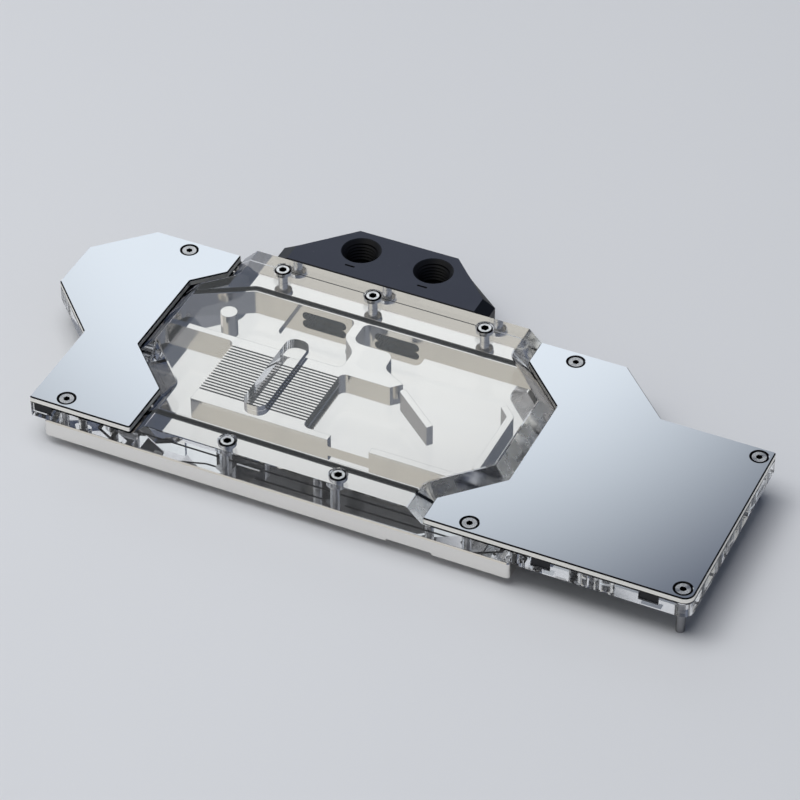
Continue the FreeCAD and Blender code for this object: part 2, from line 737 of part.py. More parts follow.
def plate_fins(body):
    """Straight slots across the fin block, open at both ends."""
    half = D["fin_length"] / 2 + D["cutter"]
    first = D["fin_pitch"] * (FIN_SLOTS - 1) / -2
    sketch = new_sketch(body, "FinSlot", height=PLATE_TOP)
    slot = D["fin_slot"] / 2
    draw_loop(sketch, rounded(rectangle(-half, half, first - slot, first + slot), None))
    pocket = cut(body, "FinSlotCut", sketch, D["fin_depth"])
    before = pocket.Shape.Volume
    pattern = body.newObject("PartDesign::LinearPattern", "FinPattern")
    pattern.Originals = [pocket]
    pattern.Direction = (sketch, ["V_Axis"])
    bind(pattern, "Length", D["fin_pitch"] * (FIN_SLOTS - 1))
    pattern.Occurrences = FIN_SLOTS
    body.Tip = pattern
    doc.recompute()
    if not pattern.Shape.Volume < before - SPREAD:
        raise ValueError("the fin pattern cut nothing")


def seal_ring(sketch, inner_gap, width):
    """Two loops that follow the pools' outer wall."""
    inner = offset(seal_corners(), inner_gap)
    outer = offset(seal_corners(), inner_gap + width)
    middle = D["seal_bend"]
    draw_loop(sketch, rounded(inner, middle - width / 2))
    draw_loop(sketch, rounded(outer, middle + width / 2))


def plate_groove(body):
    """Groove for the channel seal round all pools."""
    sketch = new_sketch(body, "SealGroove", height=PLATE_TOP)
    seal_ring(sketch, D["groove_land"], D["groove_width"])
    cut(body, "SealGrooveCut", sketch, D["groove_depth"])


def plate_underside(body):
    """Contact pads, and the relief in the lower front edge."""
    half = D["chip_pad"] / 2
    sketch = new_sketch(body, "ChipPad")
    draw_loop(sketch, rounded(rectangle(-half, half, -half, half), D["plate_corner"]))
    pad(body, "ChipPadBlock", sketch, D["contact_rise"] + D["plate_bevel"])

    sketch = new_sketch(body, "SmallPads", height=D["pad_rise"])
    long, wide = D["memory_long"] / 2, D["memory_wide"] / 2
    for i in (-1, 0, 1):
        along = D["memory_step"] * i
        for x, y, a, b in ((-D["memory_out"], along, wide, long), (along, -D["memory_out"], long, wide)):
            draw_loop(sketch, rounded(rectangle(x - a, x + a, y - b, y + b), None))
    for i in (0, 1):
        y = D["coil_step"] * i
        draw_loop(sketch, rounded(rectangle(D["coil_x"] - D["coil_long"] / 2 + D["memory_out"] / 3,
                                            D["coil_x"] + D["coil_long"] / 2 - D["memory_out"] / 3,
                                            y - D["coil_wide"] / 2, y + D["coil_wide"] / 2), None))
    pad(body, "SmallPadBlocks", sketch, D["contact_rise"] - D["pad_rise"] + D["plate_bevel"])

    sketch = new_sketch(body, "EdgeRelief", height=PLATE_LOW)
    loop = rectangle(D["relief_left"], D["relief_left"] + D["relief_width"],
                     -D["plate_front"] - D["plate_bevel"], D["relief_deep"] - D["plate_front"])
    draw_loop(sketch, rounded(loop, None))
    cut(body, "EdgeReliefCut", sketch, D["relief_tall"], reverse=True)


def plate_screw_holes(body):
    """Tapped holes for every screw and standoff that ends in the plate."""
    back, front = window_screw_places()
    left, right, _ = cover_screw_places()
    wing_l, wing_r = wing_screw_places()
    sketch = new_sketch(body, "TopTaps", height=PLATE_TOP)
    for x, y in back + front + left + right + wing_l + wing_r:
        draw_circle(sketch, x, y, D["tap_across"] + D["tap_play"] * 2)
    cut(body, "TopTapCut", sketch, D["plate_bite"] + D["tap_run"])

    sketch = new_sketch(body, "ClampTaps", "XZ_Plane", height=-D["plate_back"])
    for x, z in clamp_places():
        draw_circle(sketch, x, z, D["tap_across"] + D["tap_play"] * 2)
    cut(body, "ClampTapCut", sketch, D["clamp_bite"] + D["tap_run"], reverse=True)

    sketch = new_sketch(body, "StandoffTaps", height=PLATE_LOW)
    for x, y in chip_standoffs() + end_standoffs():
        draw_circle(sketch, x, y, D["standoff_stud"] + D["tap_play"] * 2)
    cut(body, "StandoffTapCut", sketch, D["stud_long"] + D["tap_run"] / 2, reverse=True)


# Clear top

def left_contour(gap):
    """Inner edge of the left cover from front to back, moved towards the window by a gap."""
    lean = gap * HALF_CORNER
    front_step = D["left_waist"] - D["left_neck_front"]
    back_step = D["left_waist"] - D["left_neck_back"]
    waist = gap - D["left_waist"]
    return [(gap - D["left_neck_front"], lean - D["left_turn_front"]),
            (waist, front_step - D["left_turn_front"] + lean),
            (waist, D["left_turn_back"] - back_step - lean),
            (gap - D["left_neck_back"], D["left_turn_back"] - lean)]


def right_contour(gap):
    """Inner edge of the right cover from back to front, moved towards the window by a gap."""
    lean = gap * HALF_CORNER
    step = D["right_waist"] - D["right_neck"]
    neck = D["right_neck"] - gap
    waist = D["right_waist"] - gap
    return [(neck, D["right_turn_back"] - lean), (waist, D["right_turn_back"] - step - lean),
            (waist, step - D["right_turn_front"] + lean), (neck, lean - D["right_turn_front"])]


def fan(corner, along, away, bevel):
    """Inside corner of the window: an arc about the corner's own centre, wider by the bevel.

    along is the direction of the upright side seen from the corner, and away the side on
    which the cover lies."""
    small = D["valley"]
    wide = small + bevel
    tangent = small * HALF_CORNER
    centre = (corner[0] + small * away, corner[1] + tangent * along)
    upright = (centre[0] - wide * away, centre[1])
    slanted = (centre[0] - wide * (away * DIAGONAL), centre[1] - wide * (along * DIAGONAL))
    return centre, wide, upright, slanted


def window_loop(bevel):
    """Outline of the raised window at a level where its slopes have run in by a bevel."""
    foot_l = left_contour(D["cover_gap"])
    foot_r = right_contour(D["cover_gap"])
    front, back = -D["top_front"], D["window_back"]
    lean = bevel * HALF_CORNER
    sides = []
    left_x = foot_l[0][0] + bevel
    back_left_x = foot_l[3][0] + bevel
    right_x = foot_r[3][0] - bevel
    back_right_x = foot_r[0][0] - bevel
    sides.append(line((left_x, front)))
    sides.append(line((right_x, front)))
    centre, wide, upright, slanted = fan(foot_r[3], -1, 1, bevel)
    sides.append(arc(upright, centre, wide, False))
    sides.append(line(slanted))
    sides.append(line((foot_r[2][0] - bevel, foot_r[2][1] + lean)))
    sides.append(line((foot_r[1][0] - bevel, foot_r[1][1] - lean)))
    centre, wide, upright, slanted = fan(foot_r[0], 1, 1, bevel)
    sides.append(arc(slanted, centre, wide, False))
    sides.append(line(upright))
    sides.append(line((back_right_x, back)))
    sides.append(line((back_left_x, back)))
    centre, wide, upright, slanted = fan(foot_l[3], 1, -1, bevel)
    sides.append(arc(upright, centre, wide, False))
    sides.append(line(slanted))
    sides.append(line((foot_l[2][0] + bevel, foot_l[2][1] - lean)))
    sides.append(line((foot_l[1][0] + bevel, foot_l[1][1] + lean)))
    centre, wide, upright, slanted = fan(foot_l[0], -1, -1, bevel)
    sides.append(arc(slanted, centre, wide, False))
    sides.append(line(upright))
    return sides


def acrylic_top():
    """Clear top: flat wings under the covers and the raised window between them."""
    body = new_body("acrylic_top")
    sketch = new_sketch(body, "TopOutline", height=TOP_LOW)
    left_back = D["cover_back"] - D["left_tip_back"]
    inner_l = D["cover_gap"] - D["left_neck_back"]
    inner_r = D["right_neck"] - D["cover_gap"]
    rise = D["left_tip"] - D["left_foot"]
    drop = D["cover_back"] - D["right_shelf"]
    loop = [(-D["left_foot"], -D["top_front"]), (D["right_end"], -D["top_front"]),
            (D["right_end"], D["right_shelf"]), (D["right_shelf_end"], D["right_shelf"]),
            (D["right_shelf_end"] - drop, D["cover_back"]), (inner_r, D["cover_back"]),
            (inner_r, D["window_back"]), (inner_l, D["window_back"]), (inner_l, D["cover_back"]),
            (left_back - D["left_tip"], D["cover_back"]), (-D["left_tip"], D["left_tip_back"]),
            (-D["left_tip"], rise - D["left_step"]), (-D["left_foot"], -D["left_step"])]
    corner = D["cover_corner"]
    radii = [corner, D["right_corner"], corner, corner, corner, None, None, None, None,
             corner, corner, corner, corner]
    draw_loop(sketch, rounded(loop, radii))
    pad(body, "TopBlank", sketch, D["wing_thick"] - D["top_film"])

    # Raised window: its side slopes run in by as much as it rises
    foot = new_sketch(body, "WindowFoot", height=WING_TOP)
    draw_loop(foot, window_loop(as_size(0.0)))
    head = new_sketch(body, "WindowHead", height=WINDOW_TOP)
    draw_loop(head, window_loop(D["window_rise"]))
    doc.recompute()
    loft = body.newObject("PartDesign::AdditiveLoft", "RaisedWindow")
    loft.Profile = foot
    loft.Sections = [head]
    loft.Ruled = True
    doc.recompute()

    # Jet slot under the window, above the fins
    sketch = new_sketch(body, "JetSlot", height=TOP_LOW)
    half = D["jet_width"] / 2
    x0, x1 = D["jet_x"] - half, D["jet_x"] + half
    loop = rectangle(x0, x1, -D["jet_front"], D["jet_back"])
    draw_loop(sketch, rounded(loop, half * 0.85))
    cut(body, "JetSlotCut", sketch, D["jet_depth"], reverse=True)

    # Lamp notches, open to the front under the covers
    sketch = new_sketch(body, "LampNotches", height=WING_TOP)
    for x in lamp_places():
        half = D["lamp_width"] / 2
        draw_loop(sketch, rounded(rectangle(x - half, x + half, -D["top_front"] - D["cutter"],
                                            D["lamp_reach"] - D["top_front"]), None))
    cut(body, "LampNotchCut", sketch, D["lamp_deep"])

    top_screw_holes(body)
    rims = edges_where(body.Tip.Shape, lambda e: in_level(e, WINDOW_TOP))
    dress(body, "WindowBevel", "Chamfer", rims, D["window_bevel"])
    return body


def lamp_blanks():
    """Black blanks that close the lamp notches."""
    body = new_body("lamp_blanks")
    play = D["blank_play"]
    half = D["lamp_width"] / 2 - play
    sketch = new_sketch(body, "Blanks", height=WING_TOP - D["lamp_deep"] + play / 2)
    for x in lamp_places():
        draw_loop(sketch, rounded(rectangle(x - half, x + half, D["blank_back"] - D["top_front"],
                                            D["lamp_reach"] - play - D["top_front"]), None))
    pad(body, "BlankBlocks", sketch, D["lamp_deep"] - play)
    return body


def top_screw_holes(body):
    """Clear holes, and counterbores for the cap heads."""
    back, front = window_screw_places()
    left, right, ends = cover_screw_places()
    wing_l, wing_r = wing_screw_places()
    sketch = new_sketch(body, "TopHoles", height=TOP_LOW)
    for x, y in back + front + left + right + ends + wing_l + wing_r:
        draw_circle(sketch, x, y, D["bore_across"])
    cut(body, "TopHoleCut", sketch, D["wing_thick"] + D["window_rise"], reverse=True)

    bore = D["head_tall"] + D["head_sink"] + D["counter_seat"]
    sketch = new_sketch(body, "WindowCounterbores", height=WINDOW_TOP)
    for x, y in back + front:
        draw_circle(sketch, x, y, D["counter_across"])
    cut(body, "WindowCounterboreCut", sketch, bore)
    sketch = new_sketch(body, "WingCounterbores", height=WING_TOP)
    for x, y in wing_l + wing_r:
        draw_circle(sketch, x, y, D["counter_across"])
    cut(body, "WingCounterboreCut", sketch, bore)


# Covers

def left_cover():
    """Polished cover over the left wing."""
    left_back = D["cover_back"] - D["left_tip_back"]
    rise = D["left_tip"] - D["left_foot"]
    inner = left_contour(as_size(0.0))
    loop = [(-D["left_foot"], -D["cover_front"]), (inner[0][0], -D["cover_front"])] + inner
    loop += [(inner[3][0], D["cover_back"]), (left_back - D["left_tip"], D["cover_back"]),
             (-D["left_tip"], D["left_tip_back"]), (-D["left_tip"], rise - D["left_step"]),
             (-D["left_foot"], -D["left_step"])]
    left, _, _ = cover_screw_places()
    return cover("left_cover", loop, [D["cover_corner"]] * len(loop), left)


def right_cover():
    """Polished cover over the right wing."""
    inner = right_contour(as_size(0.0))
    drop = D["cover_back"] - D["right_shelf"]
    loop = [(inner[3][0], -D["cover_front"]), (D["right_end"], -D["cover_front"]),
            (D["right_end"], D["right_shelf"]), (D["right_shelf_end"], D["right_shelf"]),
            (D["right_shelf_end"] - drop, D["cover_back"]), (inner[0][0], D["cover_back"])]
    loop += inner
    radii = [D["cover_corner"]] * len(loop)
    radii[1] = D["right_corner"]
    _, right, ends = cover_screw_places()
    return cover("right_cover", loop, radii, right + ends)


def cover(label, loop, radii, screws):
    """A flat plate with bevelled edges and countersunk holes."""
    body = new_body(label)
    sketch = new_sketch(body, "Outline", height=COVER_LOW)
    draw_loop(sketch, rounded(loop, radii))
    pad(body, "Blank", sketch, D["cover_thick"] - D["cover_film"])
    rim = edges_where(body.Tip.Shape, lambda e: in_level(e, COVER_LOW) or in_level(e, COVER_TOP))
    dress(body, "EdgeBreak", "Chamfer", rim, D["cover_bevel"])
    sketch = new_sketch(body, "ScrewHoles", height=COVER_TOP)
    for x, y in screws:
        draw_circle(sketch, x, y, D["bore_across"])
    cut(body, "ScrewHoleCut", sketch, D["cover_thick"])
    mouths = edges_where(body.Tip.Shape, lambda e: in_level(e, COVER_TOP)
                         and isinstance(e.Curve, Part.Circle)
                         and abs(e.Curve.Radius - D["bore_across"].number / 2) < SPREAD)
    dress(body, "Countersinks", "Chamfer", mouths, (D["sink_across"] - D["bore_across"]) / 2)
    return body


# Seals

def channel_seal():
    """Rubber ring pressed between the plate and the clear top."""
    body = new_body("channel_seal")
    low = PLATE_TOP - D["groove_depth"]
    sketch = new_sketch(body, "Ring", height=low)
    seal_ring(sketch, D["groove_land"] + D["seal_play"], D["groove_width"] - D["seal_play"] * 2)
    pad(body, "RingPad", sketch, D["groove_depth"] + D["top_film"])
    rims = edges_where(body.Tip.Shape, lambda e: in_level(e, TOP_LOW) or in_level(e, low))
    dress(body, "RingRound", "Fillet", rims, D["seal_round"])
    return body


def terminal_face():
    """Front face of the terminal block."""
    return D["plate_back"] + D["terminal_gap"]


def terminal_seals():
    """One stadium ring round each passage, pressed into the terminal block."""
    made = []
    for label, (left, right) in zip(("inlet_seal", "outlet_seal"), passages()):
        body = new_body(label)
        sketch = new_sketch(body, "Ring", "XZ_Plane", height=-D["plate_back"])
        land = D["port_seal_land"] + D["seal_play"]
        width = D["port_seal_width"] - D["seal_play"] * 2
        for grow in (land, land + width):
            draw_loop(sketch, stadium(left - grow, right + grow, D["passage_height"],
                                      D["passage_tall"] + grow * 2))
        ring = body.newObject("PartDesign::Pad", "RingPad")
        ring.Profile = sketch
        ring.Reversed = True
        bind(ring, "Length", D["terminal_gap"] + D["port_seal_depth"])
        doc.recompute()
        faces = (D["plate_back"].number, (terminal_face() + D["port_seal_depth"]).number)
        rims = edges_where(ring.Shape, lambda e: e.BoundBox.YLength < SPREAD
                           and min(abs(e.BoundBox.YMin - y) for y in faces) < SPREAD)
        dress(body, "RingRound", "Fillet", rims, D["seal_round"] / 2)
        made.append(body)
    return made


# Terminal block

def terminal_loop(slope):
    """Plan of the terminal block, its sides moved in by a slope."""
    front = terminal_face()
    back = front + D["terminal_deep"]
    side = front + D["terminal_side"]
    left, right = ports()[0] - D["terminal_out"], ports()[1] + D["terminal_out"]
    cut = D["terminal_slope"] + D["terminal_cut"]
    return [(left + slope, front), (right - slope, front), (right - slope, side),
            (right - cut, back), (left + cut, back), (left + slope, side)]


def terminal_block():
    """Black block with two threaded ports on top and two passages in front."""
    body = new_body("terminal_block")
    low = -D["terminal_foot"]
    knee = WINDOW_TOP - D["terminal_fall"]
    sketch = new_sketch(body, "BlockPlan", height=low)
    draw_loop(sketch, rounded(terminal_loop(as_size(0.0)), None))
    pad(body, "BlockBlank", sketch, knee - low)
    foot = new_sketch(body, "SlopeFoot", height=knee)
    draw_loop(foot, rounded(terminal_loop(as_size(0.0)), None))
    head = new_sketch(body, "SlopeHead", height=WINDOW_TOP)
    draw_loop(head, rounded(terminal_loop(D["terminal_slope"]), None))
    doc.recompute()
    loft = body.newObject("PartDesign::AdditiveLoft", "SlopedEnds")
    loft.Profile = foot
    loft.Sections = [head]
    loft.Ruled = True
    doc.recompute()
    front = terminal_face().number
    lip = edges_where(body.Tip.Shape, lambda e: in_level(e, WINDOW_TOP)
                      and abs(e.BoundBox.YMax - front) < SPREAD)
    dress(body, "FrontBevel", "Chamfer", lip, D["terminal_bevel"])

    axis_y = D["plate_back"] + D["port_back"]
    sketch = new_sketch(body, "PortBores", height=WINDOW_TOP)
    for x in ports():
        draw_circle(sketch, x, axis_y, D["port_minor"])
    cut(body, "PortBoreCut", sketch, D["port_thread"])
    mouths = edges_where(body.Tip.Shape, lambda e: in_level(e, WINDOW_TOP)
                         and isinstance(e.Curve, Part.Circle))
    dress(body, "PortMouths", "Chamfer", mouths, (D["port_mouth"] - D["port_minor"]) / 2)
    sketch = new_sketch(body, "PortChannels", height=WINDOW_TOP)
    for x in ports():
        draw_circle(sketch, x, axis_y, D["port_channel"])
    depth = WINDOW_TOP - D["passage_height"] + D["passage_tall"] / 2
    cut(body, "PortChannelCut", sketch, depth)

    sketch = new_sketch(body, "BlockPassages", "XZ_Plane", height=-terminal_face())
    for left, right in passages():
        draw_loop(sketch, stadium(left, right, D["passage_height"], D["passage_tall"]))
    cut(body, "BlockPassageCut", sketch, D["port_back"] - D["terminal_gap"])
    sketch = new_sketch(body, "SealSeats", "XZ_Plane", height=-terminal_face())
    for left, right in passages():
        for grow in (D["port_seal_land"], D["port_seal_land"] + D["port_seal_width"]):
            draw_loop(sketch, stadium(left - grow, right + grow, D["passage_height"],
                                      D["passage_tall"] + grow * 2))
    cut(body, "SealSeatCut", sketch, D["port_seal_depth"])

    sketch = new_sketch(body, "ClampHoles", "XZ_Plane", height=-terminal_face())
    for x, z in clamp_places():
        draw_circle(sketch, x, z, D["bore_across"])
    cut(body, "ClampHoleCut", sketch, D["terminal_deep"])
    seat = D["plate_back"] + D["clamp_seat"]
    sketch = new_sketch(body, "ClampCounterbores", "XZ_Plane", height=-seat)
    for x, z in clamp_places():
        draw_circle(sketch, x, z, D["counter_across"])
    cut(body, "ClampCounterboreCut", sketch, D["terminal_deep"])
    return body


# Screws

def cap_screws(label, places, top, end, role="XY_Plane"):
    """Socket cap screws, heads upwards from a level or backwards from the terminal block."""
    body = new_body(label)
    flip = role == "XZ_Plane"
    under = top + D["head_tall"] if flip else top - D["head_tall"]
    sketch = new_sketch(body, "Heads", role, height=-under if flip else under)
    for a, b in places:
        draw_circle(sketch, a, b, D["head_across"])
    heads = body.newObject("PartDesign::Pad", "HeadPad")
    heads.Profile = sketch
    bind(heads, "Length", D["head_tall"])
    doc.recompute()
    rims = edges_where(heads.Shape, lambda e: isinstance(e.Curve, Part.Circle)
                       and abs((e.BoundBox.YMax if flip else e.BoundBox.ZMax)
                               - (under.number if flip else top.number)) < SPREAD
                       and (e.BoundBox.YLength if flip else e.BoundBox.ZLength) < SPREAD)
    dress(body, "HeadBevel", "Chamfer", rims, D["head_bevel"])
    sketch = new_sketch(body, "Shanks", role, height=-top if flip else under)
    for a, b in places:
        draw_circle(sketch, a, b, D["thread_across"])
    shank = body.newObject("PartDesign::Pad", "ShankPad")
    shank.Profile = sketch
    shank.Reversed = not flip
    bind(shank, "Length", (top - end) if flip else (under - end))
    doc.recompute()
    sketch = new_sketch(body, "Sockets", role, height=-under if flip else top)
    for a, b in places:
        draw_hexagon(sketch, a, b, D["hex_cap"])
    cut(body, "SocketCut", sketch, D["hex_deep"], reverse=flip)
    return body


def flat_screws(label, places, end):
    """Countersunk screws in the covers."""
    body = new_body(label)
    top = COVER_TOP - D["flat_sink"]
    sketch = new_sketch(body, "Shanks", height=end)
    for x, y in places:
        draw_circle(sketch, x, y, D["thread_across"])
    pad(body, "ShankPad", sketch, top - end)
    fall = (D["flat_across"] - D["thread_across"]) / 2
    under = top - D["flat_edge"] - fall
    sketch = new_sketch(body, "Heads", height=under)
    for x, y in places:
        draw_circle(sketch, x, y, D["flat_across"])
    pad(body, "HeadPad", sketch, D["flat_edge"] + fall)
    rims = edges_where(body.Tip.Shape, lambda e: isinstance(e.Curve, Part.Circle)
                       and in_level(e, under)
                       and abs(e.Curve.Radius - D["flat_across"].number / 2) < SPREAD)
    dress(body, "HeadCone", "Chamfer", rims, fall - D["flat_neck"])
    sketch = new_sketch(body, "Sockets", height=top)
    for x, y in places:
        draw_hexagon(sketch, x, y, D["hex_flat"])
    cut(body, "SocketCut", sketch, D["hex_deep"])
    return body


def standoffs(label, places):
    """Brass standoffs under the plate, tapped from the board's side."""
    body = new_body(label)
    sketch = new_sketch(body, "Barrels", height=BOARD)
    for x, y in places:
        draw_circle(sketch, x, y, D["standoff_across"])
    tall = D["standoff_drop"] + D["contact_rise"]
    pad(body, "BarrelPad", sketch, tall)
    sketch = new_sketch(body, "Studs", height=PLATE_LOW)
    for x, y in places:
        draw_circle(sketch, x, y, D["standoff_stud"])
    pad(body, "StudPad", sketch, D["stud_long"])
    sketch = new_sketch(body, "Bores", height=BOARD)
    for x, y in places:
        draw_circle(sketch, x, y, D["standoff_bore"])
    cut(body, "BoreCut", sketch, tall - D["tap_run"], reverse=True)
    return body


# Assembly

def build():
    """Make every sub-part and return them by node name."""
    back, front = window_screw_places()
    left, right, ends = cover_screw_places()
    wing_l, wing_r = wing_screw_places()
    window_head = WINDOW_TOP - D["head_sink"]
    wing_head = WING_TOP - D["head_sink"]
    screw_end = PLATE_TOP - D["plate_bite"]
    parts = [cold_plate(), acrylic_top(), lamp_blanks(), left_cover(), right_cover()]
    parts.append(channel_seal())
    parts += terminal_seals()
    parts.append(terminal_block())
    for name, place in zip(("back_left", "back_middle", "back_right"), back):
        parts.append(cap_screws(name + "_window_screw", [place], window_head, screw_end))
    for name, place in zip(("front_left", "front_right"), front):
        parts.append(cap_screws(name + "_window_screw", [place], window_head, screw_end))
    parts.append(cap_screws("left_wing_screws", wing_l, wing_head, screw_end))
    parts.append(cap_screws("right_wing_screws", wing_r, wing_head, screw_end))
    for name, place in zip(("left_front", "left_back", "right_front", "right_back"), left + right):
        parts.append(flat_screws(name + "_cover_screw", [place], screw_end))
    for name, place in zip(("end_front", "end_back"), ends):
        parts.append(flat_screws(name + "_cover_screw", [place], BOARD))
    clamp_seat = D["plate_back"] + D["clamp_seat"]
    clamp_end = D["plate_back"] - D["clamp_bite"]
    parts.append(cap_screws("terminal_screws", clamp_places(), clamp_seat, clamp_end, "XZ_Plane"))
    parts.append(standoffs("chip_standoffs", chip_standoffs()))
    parts.append(standoffs("end_standoffs", end_standoffs()))
    return parts


def check(parts):
    """Stop if any object failed or any sub-part's shape isn't sound."""
    doc.recompute()
    for thing in doc.Objects:
        if "Invalid" in thing.State or "Error" in thing.State:
            raise ValueError("failed object: %s (%s)" % (thing.Name, thing.Label))
    for part in parts:
        shape = part.Shape
        if shape.isNull() or not shape.isValid() or not shape.Solids:
            raise ValueError("unsound shape: " + part.Label)


def export(parts):
    """Write each sub-part to its own file."""
    os.makedirs("parts", exist_ok=True)
    for part in parts:
        part.Shape.exportStep(os.path.join("parts", part.Label + ".step"))
        print("%-22s solids %2d volume %10.1f" % (part.Label, len(part.Shape.Solids),
                                                   part.Shape.Volume))


made = build()
check(made)
export(made)
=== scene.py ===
import math

import bpy
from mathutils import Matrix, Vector


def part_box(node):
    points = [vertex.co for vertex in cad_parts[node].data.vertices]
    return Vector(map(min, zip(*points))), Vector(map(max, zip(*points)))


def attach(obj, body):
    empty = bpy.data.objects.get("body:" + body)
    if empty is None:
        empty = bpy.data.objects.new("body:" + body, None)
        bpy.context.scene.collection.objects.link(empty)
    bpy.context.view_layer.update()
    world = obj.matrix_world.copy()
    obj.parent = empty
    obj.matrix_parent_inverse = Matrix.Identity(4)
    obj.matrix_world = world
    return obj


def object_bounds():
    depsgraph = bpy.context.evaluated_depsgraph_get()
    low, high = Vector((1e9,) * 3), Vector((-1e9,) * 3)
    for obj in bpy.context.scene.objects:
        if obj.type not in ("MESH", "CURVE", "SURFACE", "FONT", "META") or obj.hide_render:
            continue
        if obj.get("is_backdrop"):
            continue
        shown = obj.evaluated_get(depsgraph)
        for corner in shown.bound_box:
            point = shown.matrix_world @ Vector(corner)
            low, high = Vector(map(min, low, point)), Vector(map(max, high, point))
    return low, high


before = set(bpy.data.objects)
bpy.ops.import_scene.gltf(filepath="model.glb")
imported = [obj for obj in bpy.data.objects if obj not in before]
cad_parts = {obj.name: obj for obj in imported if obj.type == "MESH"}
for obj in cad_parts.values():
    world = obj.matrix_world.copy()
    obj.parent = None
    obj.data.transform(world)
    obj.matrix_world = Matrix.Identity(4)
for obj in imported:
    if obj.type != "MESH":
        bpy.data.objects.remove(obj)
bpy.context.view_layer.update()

bl_info = {
    "name": "Water Block Looks",
    "version": (1, 0, 0),
    "blender": (4, 5, 0),
    "location": "View3D > Sidebar > Water Block",
    "description": "Finishes, threads and studio for the graphics card water block",
    "category": "Object",
}

MM = 0.001

# Cold plate: lands lie above RIM_FOOT, and the passages to the ports behind POOL_BACK. The
# upright walls, the fin gaps and the passages get painted shade
FIN_TOP = 7.7 * MM
FIN_FOOT = 4.3 * MM
FIN_HALF_X = 22.3 * MM
FIN_HALF_Y = 12.3 * MM
RIM_FOOT = 7.4 * MM
POOL_BACK = 45.0 * MM
PASSAGES = (("X", 15.0 * MM, 35.0 * MM), ("Y", 49.6 * MM, 6.6 * MM))
WORN_EDGE = 0.18 * MM
WALL_PAINTED_SHADE = (0.85, 0.83, 0.795, 1.0)
FIN_GAP_PAINTED_SHADE = (0.09, 0.09, 0.1, 1.0)
PASSAGE_PAINTED_SHADE = (0.72, 0.79, 1.0, 1.0)

# Covers: the lowest part of their edges is painted dark as a painted shadow line
COVER_FOOT = 12.94 * MM + 0.75 * MM
CUT_EDGE = (0.96, 0.94, 0.88, 1.0)
# Painted shade on the covers' bevels, and a painted highlight on those facing the back left
BEVEL_PAINTED_SHADE = (0.012, 0.012, 0.014, 1.0)
BEVEL_PAINTED_HIGHLIGHT = (0.95, 0.96, 0.98, 1.0)
FOOT_PAINTED_SHADOW = (0.01, 0.01, 0.012, 1.0)

# Clear top: saw marks stop below the edge break, and the screw bores are a little dull
EDGE_BREAK = 0.3 * MM
TOP_SKIN = 0.05 * MM
BORE_REACH = 3.3 * MM
SAWN = (0.8, 0.8, 0.78, 1.0)

# Terminal block: ports round its middle, and a dash before each
PORT_SPREAD = 13.6 * MM
PORT_FROM_FRONT = 14.7 * MM
PORT_REACH = 7.3 * MM
PORT_LIP = 0.3 * MM
MARK_FROM_PORT = 9.4 * MM
MARK_BEVEL = 0.02 * MM
THREAD_BITE = 0.02 * MM
# Painted shade on the block's sides
SIDE_PAINTED_SHADE = (0.006, 0.007, 0.01, 1.0)
# Painted shade inside the ports
PORT_PAINTED_SHADE = (0.003, 0.003, 0.004, 1.0)
DUST = (0.2, 0.2, 0.22, 1.0)

# Screws: heights are below the head's top
HEAD_SKIN = 0.02 * MM
HEAD_BAND = 0.62 * MM
HEAD_HEIGHT = 2.9 * MM
RING_BLUR = 0.04 * MM
TURNED_RING = 0.09 * MM
HALF_THREAD = 0.25 * MM
# Painted shade in the screws' sockets
SOCKET_PAINTED_SHADE = (0.012, 0.012, 0.013, 1.0)
# Painted shade below the heads' top band, on the head's side and the shank
SHANK_PAINTED_SHADE = (0.3, 0.3, 0.31, 1.0)
# Each look's ring colour is painted shade on a ring at the head's edge
SCREW_LOOKS = {
    "_window_screw": {"socket": 1.46 * MM, "ring": 2.2 * MM,
                      "ring_painted_shade": (0.01, 0.01, 0.012, 1.0),
                      "tones": ((0.93, 0.92, 0.91, 1.0), (0.99, 0.98, 0.97, 1.0))},
    "_cover_screw": {"socket": 1.17 * MM, "ring": 2.42 * MM,
                     "ring_painted_shade": (0.012, 0.012, 0.013, 1.0),
                     "tones": ((0.66, 0.65, 0.65, 1.0), (0.82, 0.81, 0.81, 1.0))},
}

# Studio: name, place, width in metres and power in watts of each lamp
LAMPS = (("key_lamp", (-0.2, -0.1, 1.5), 1.4, 13.0),
         ("fill_lamp", (-0.75, -0.25, 1.4), 1.0, 5.0))
LAMP_AIM = (0.04, 0.0, 0.0)

# Sky patches: azimuth from the back towards the right, elevation, and the angles from the
# patch's middle at which it ends and is full, in degrees, then its tone
SKY = (0.3, 0.31, 0.33, 1.0)
SKY_PATCHES = (
    (0.0, 90.0, 40.0, 20.0, (0.95, 0.95, 0.95, 1.0)),
    (75.0, 25.0, 85.0, 60.0, (0.13, 0.15, 0.2, 1.0)),
    (-150.0, 38.0, 36.0, 20.0, (0.54, 0.54, 0.515, 1.0)),
    (10.0, 38.0, 40.0, 22.0, (0.035, 0.048, 0.085, 1.0)),
    (-48.0, 14.0, 28.0, 15.0, (0.72, 0.79, 0.88, 1.0)),
    (-24.9, 34.4, 12.0, 5.4, (0.865, 0.91, 0.94, 1.0)),
)


# Node tree helpers

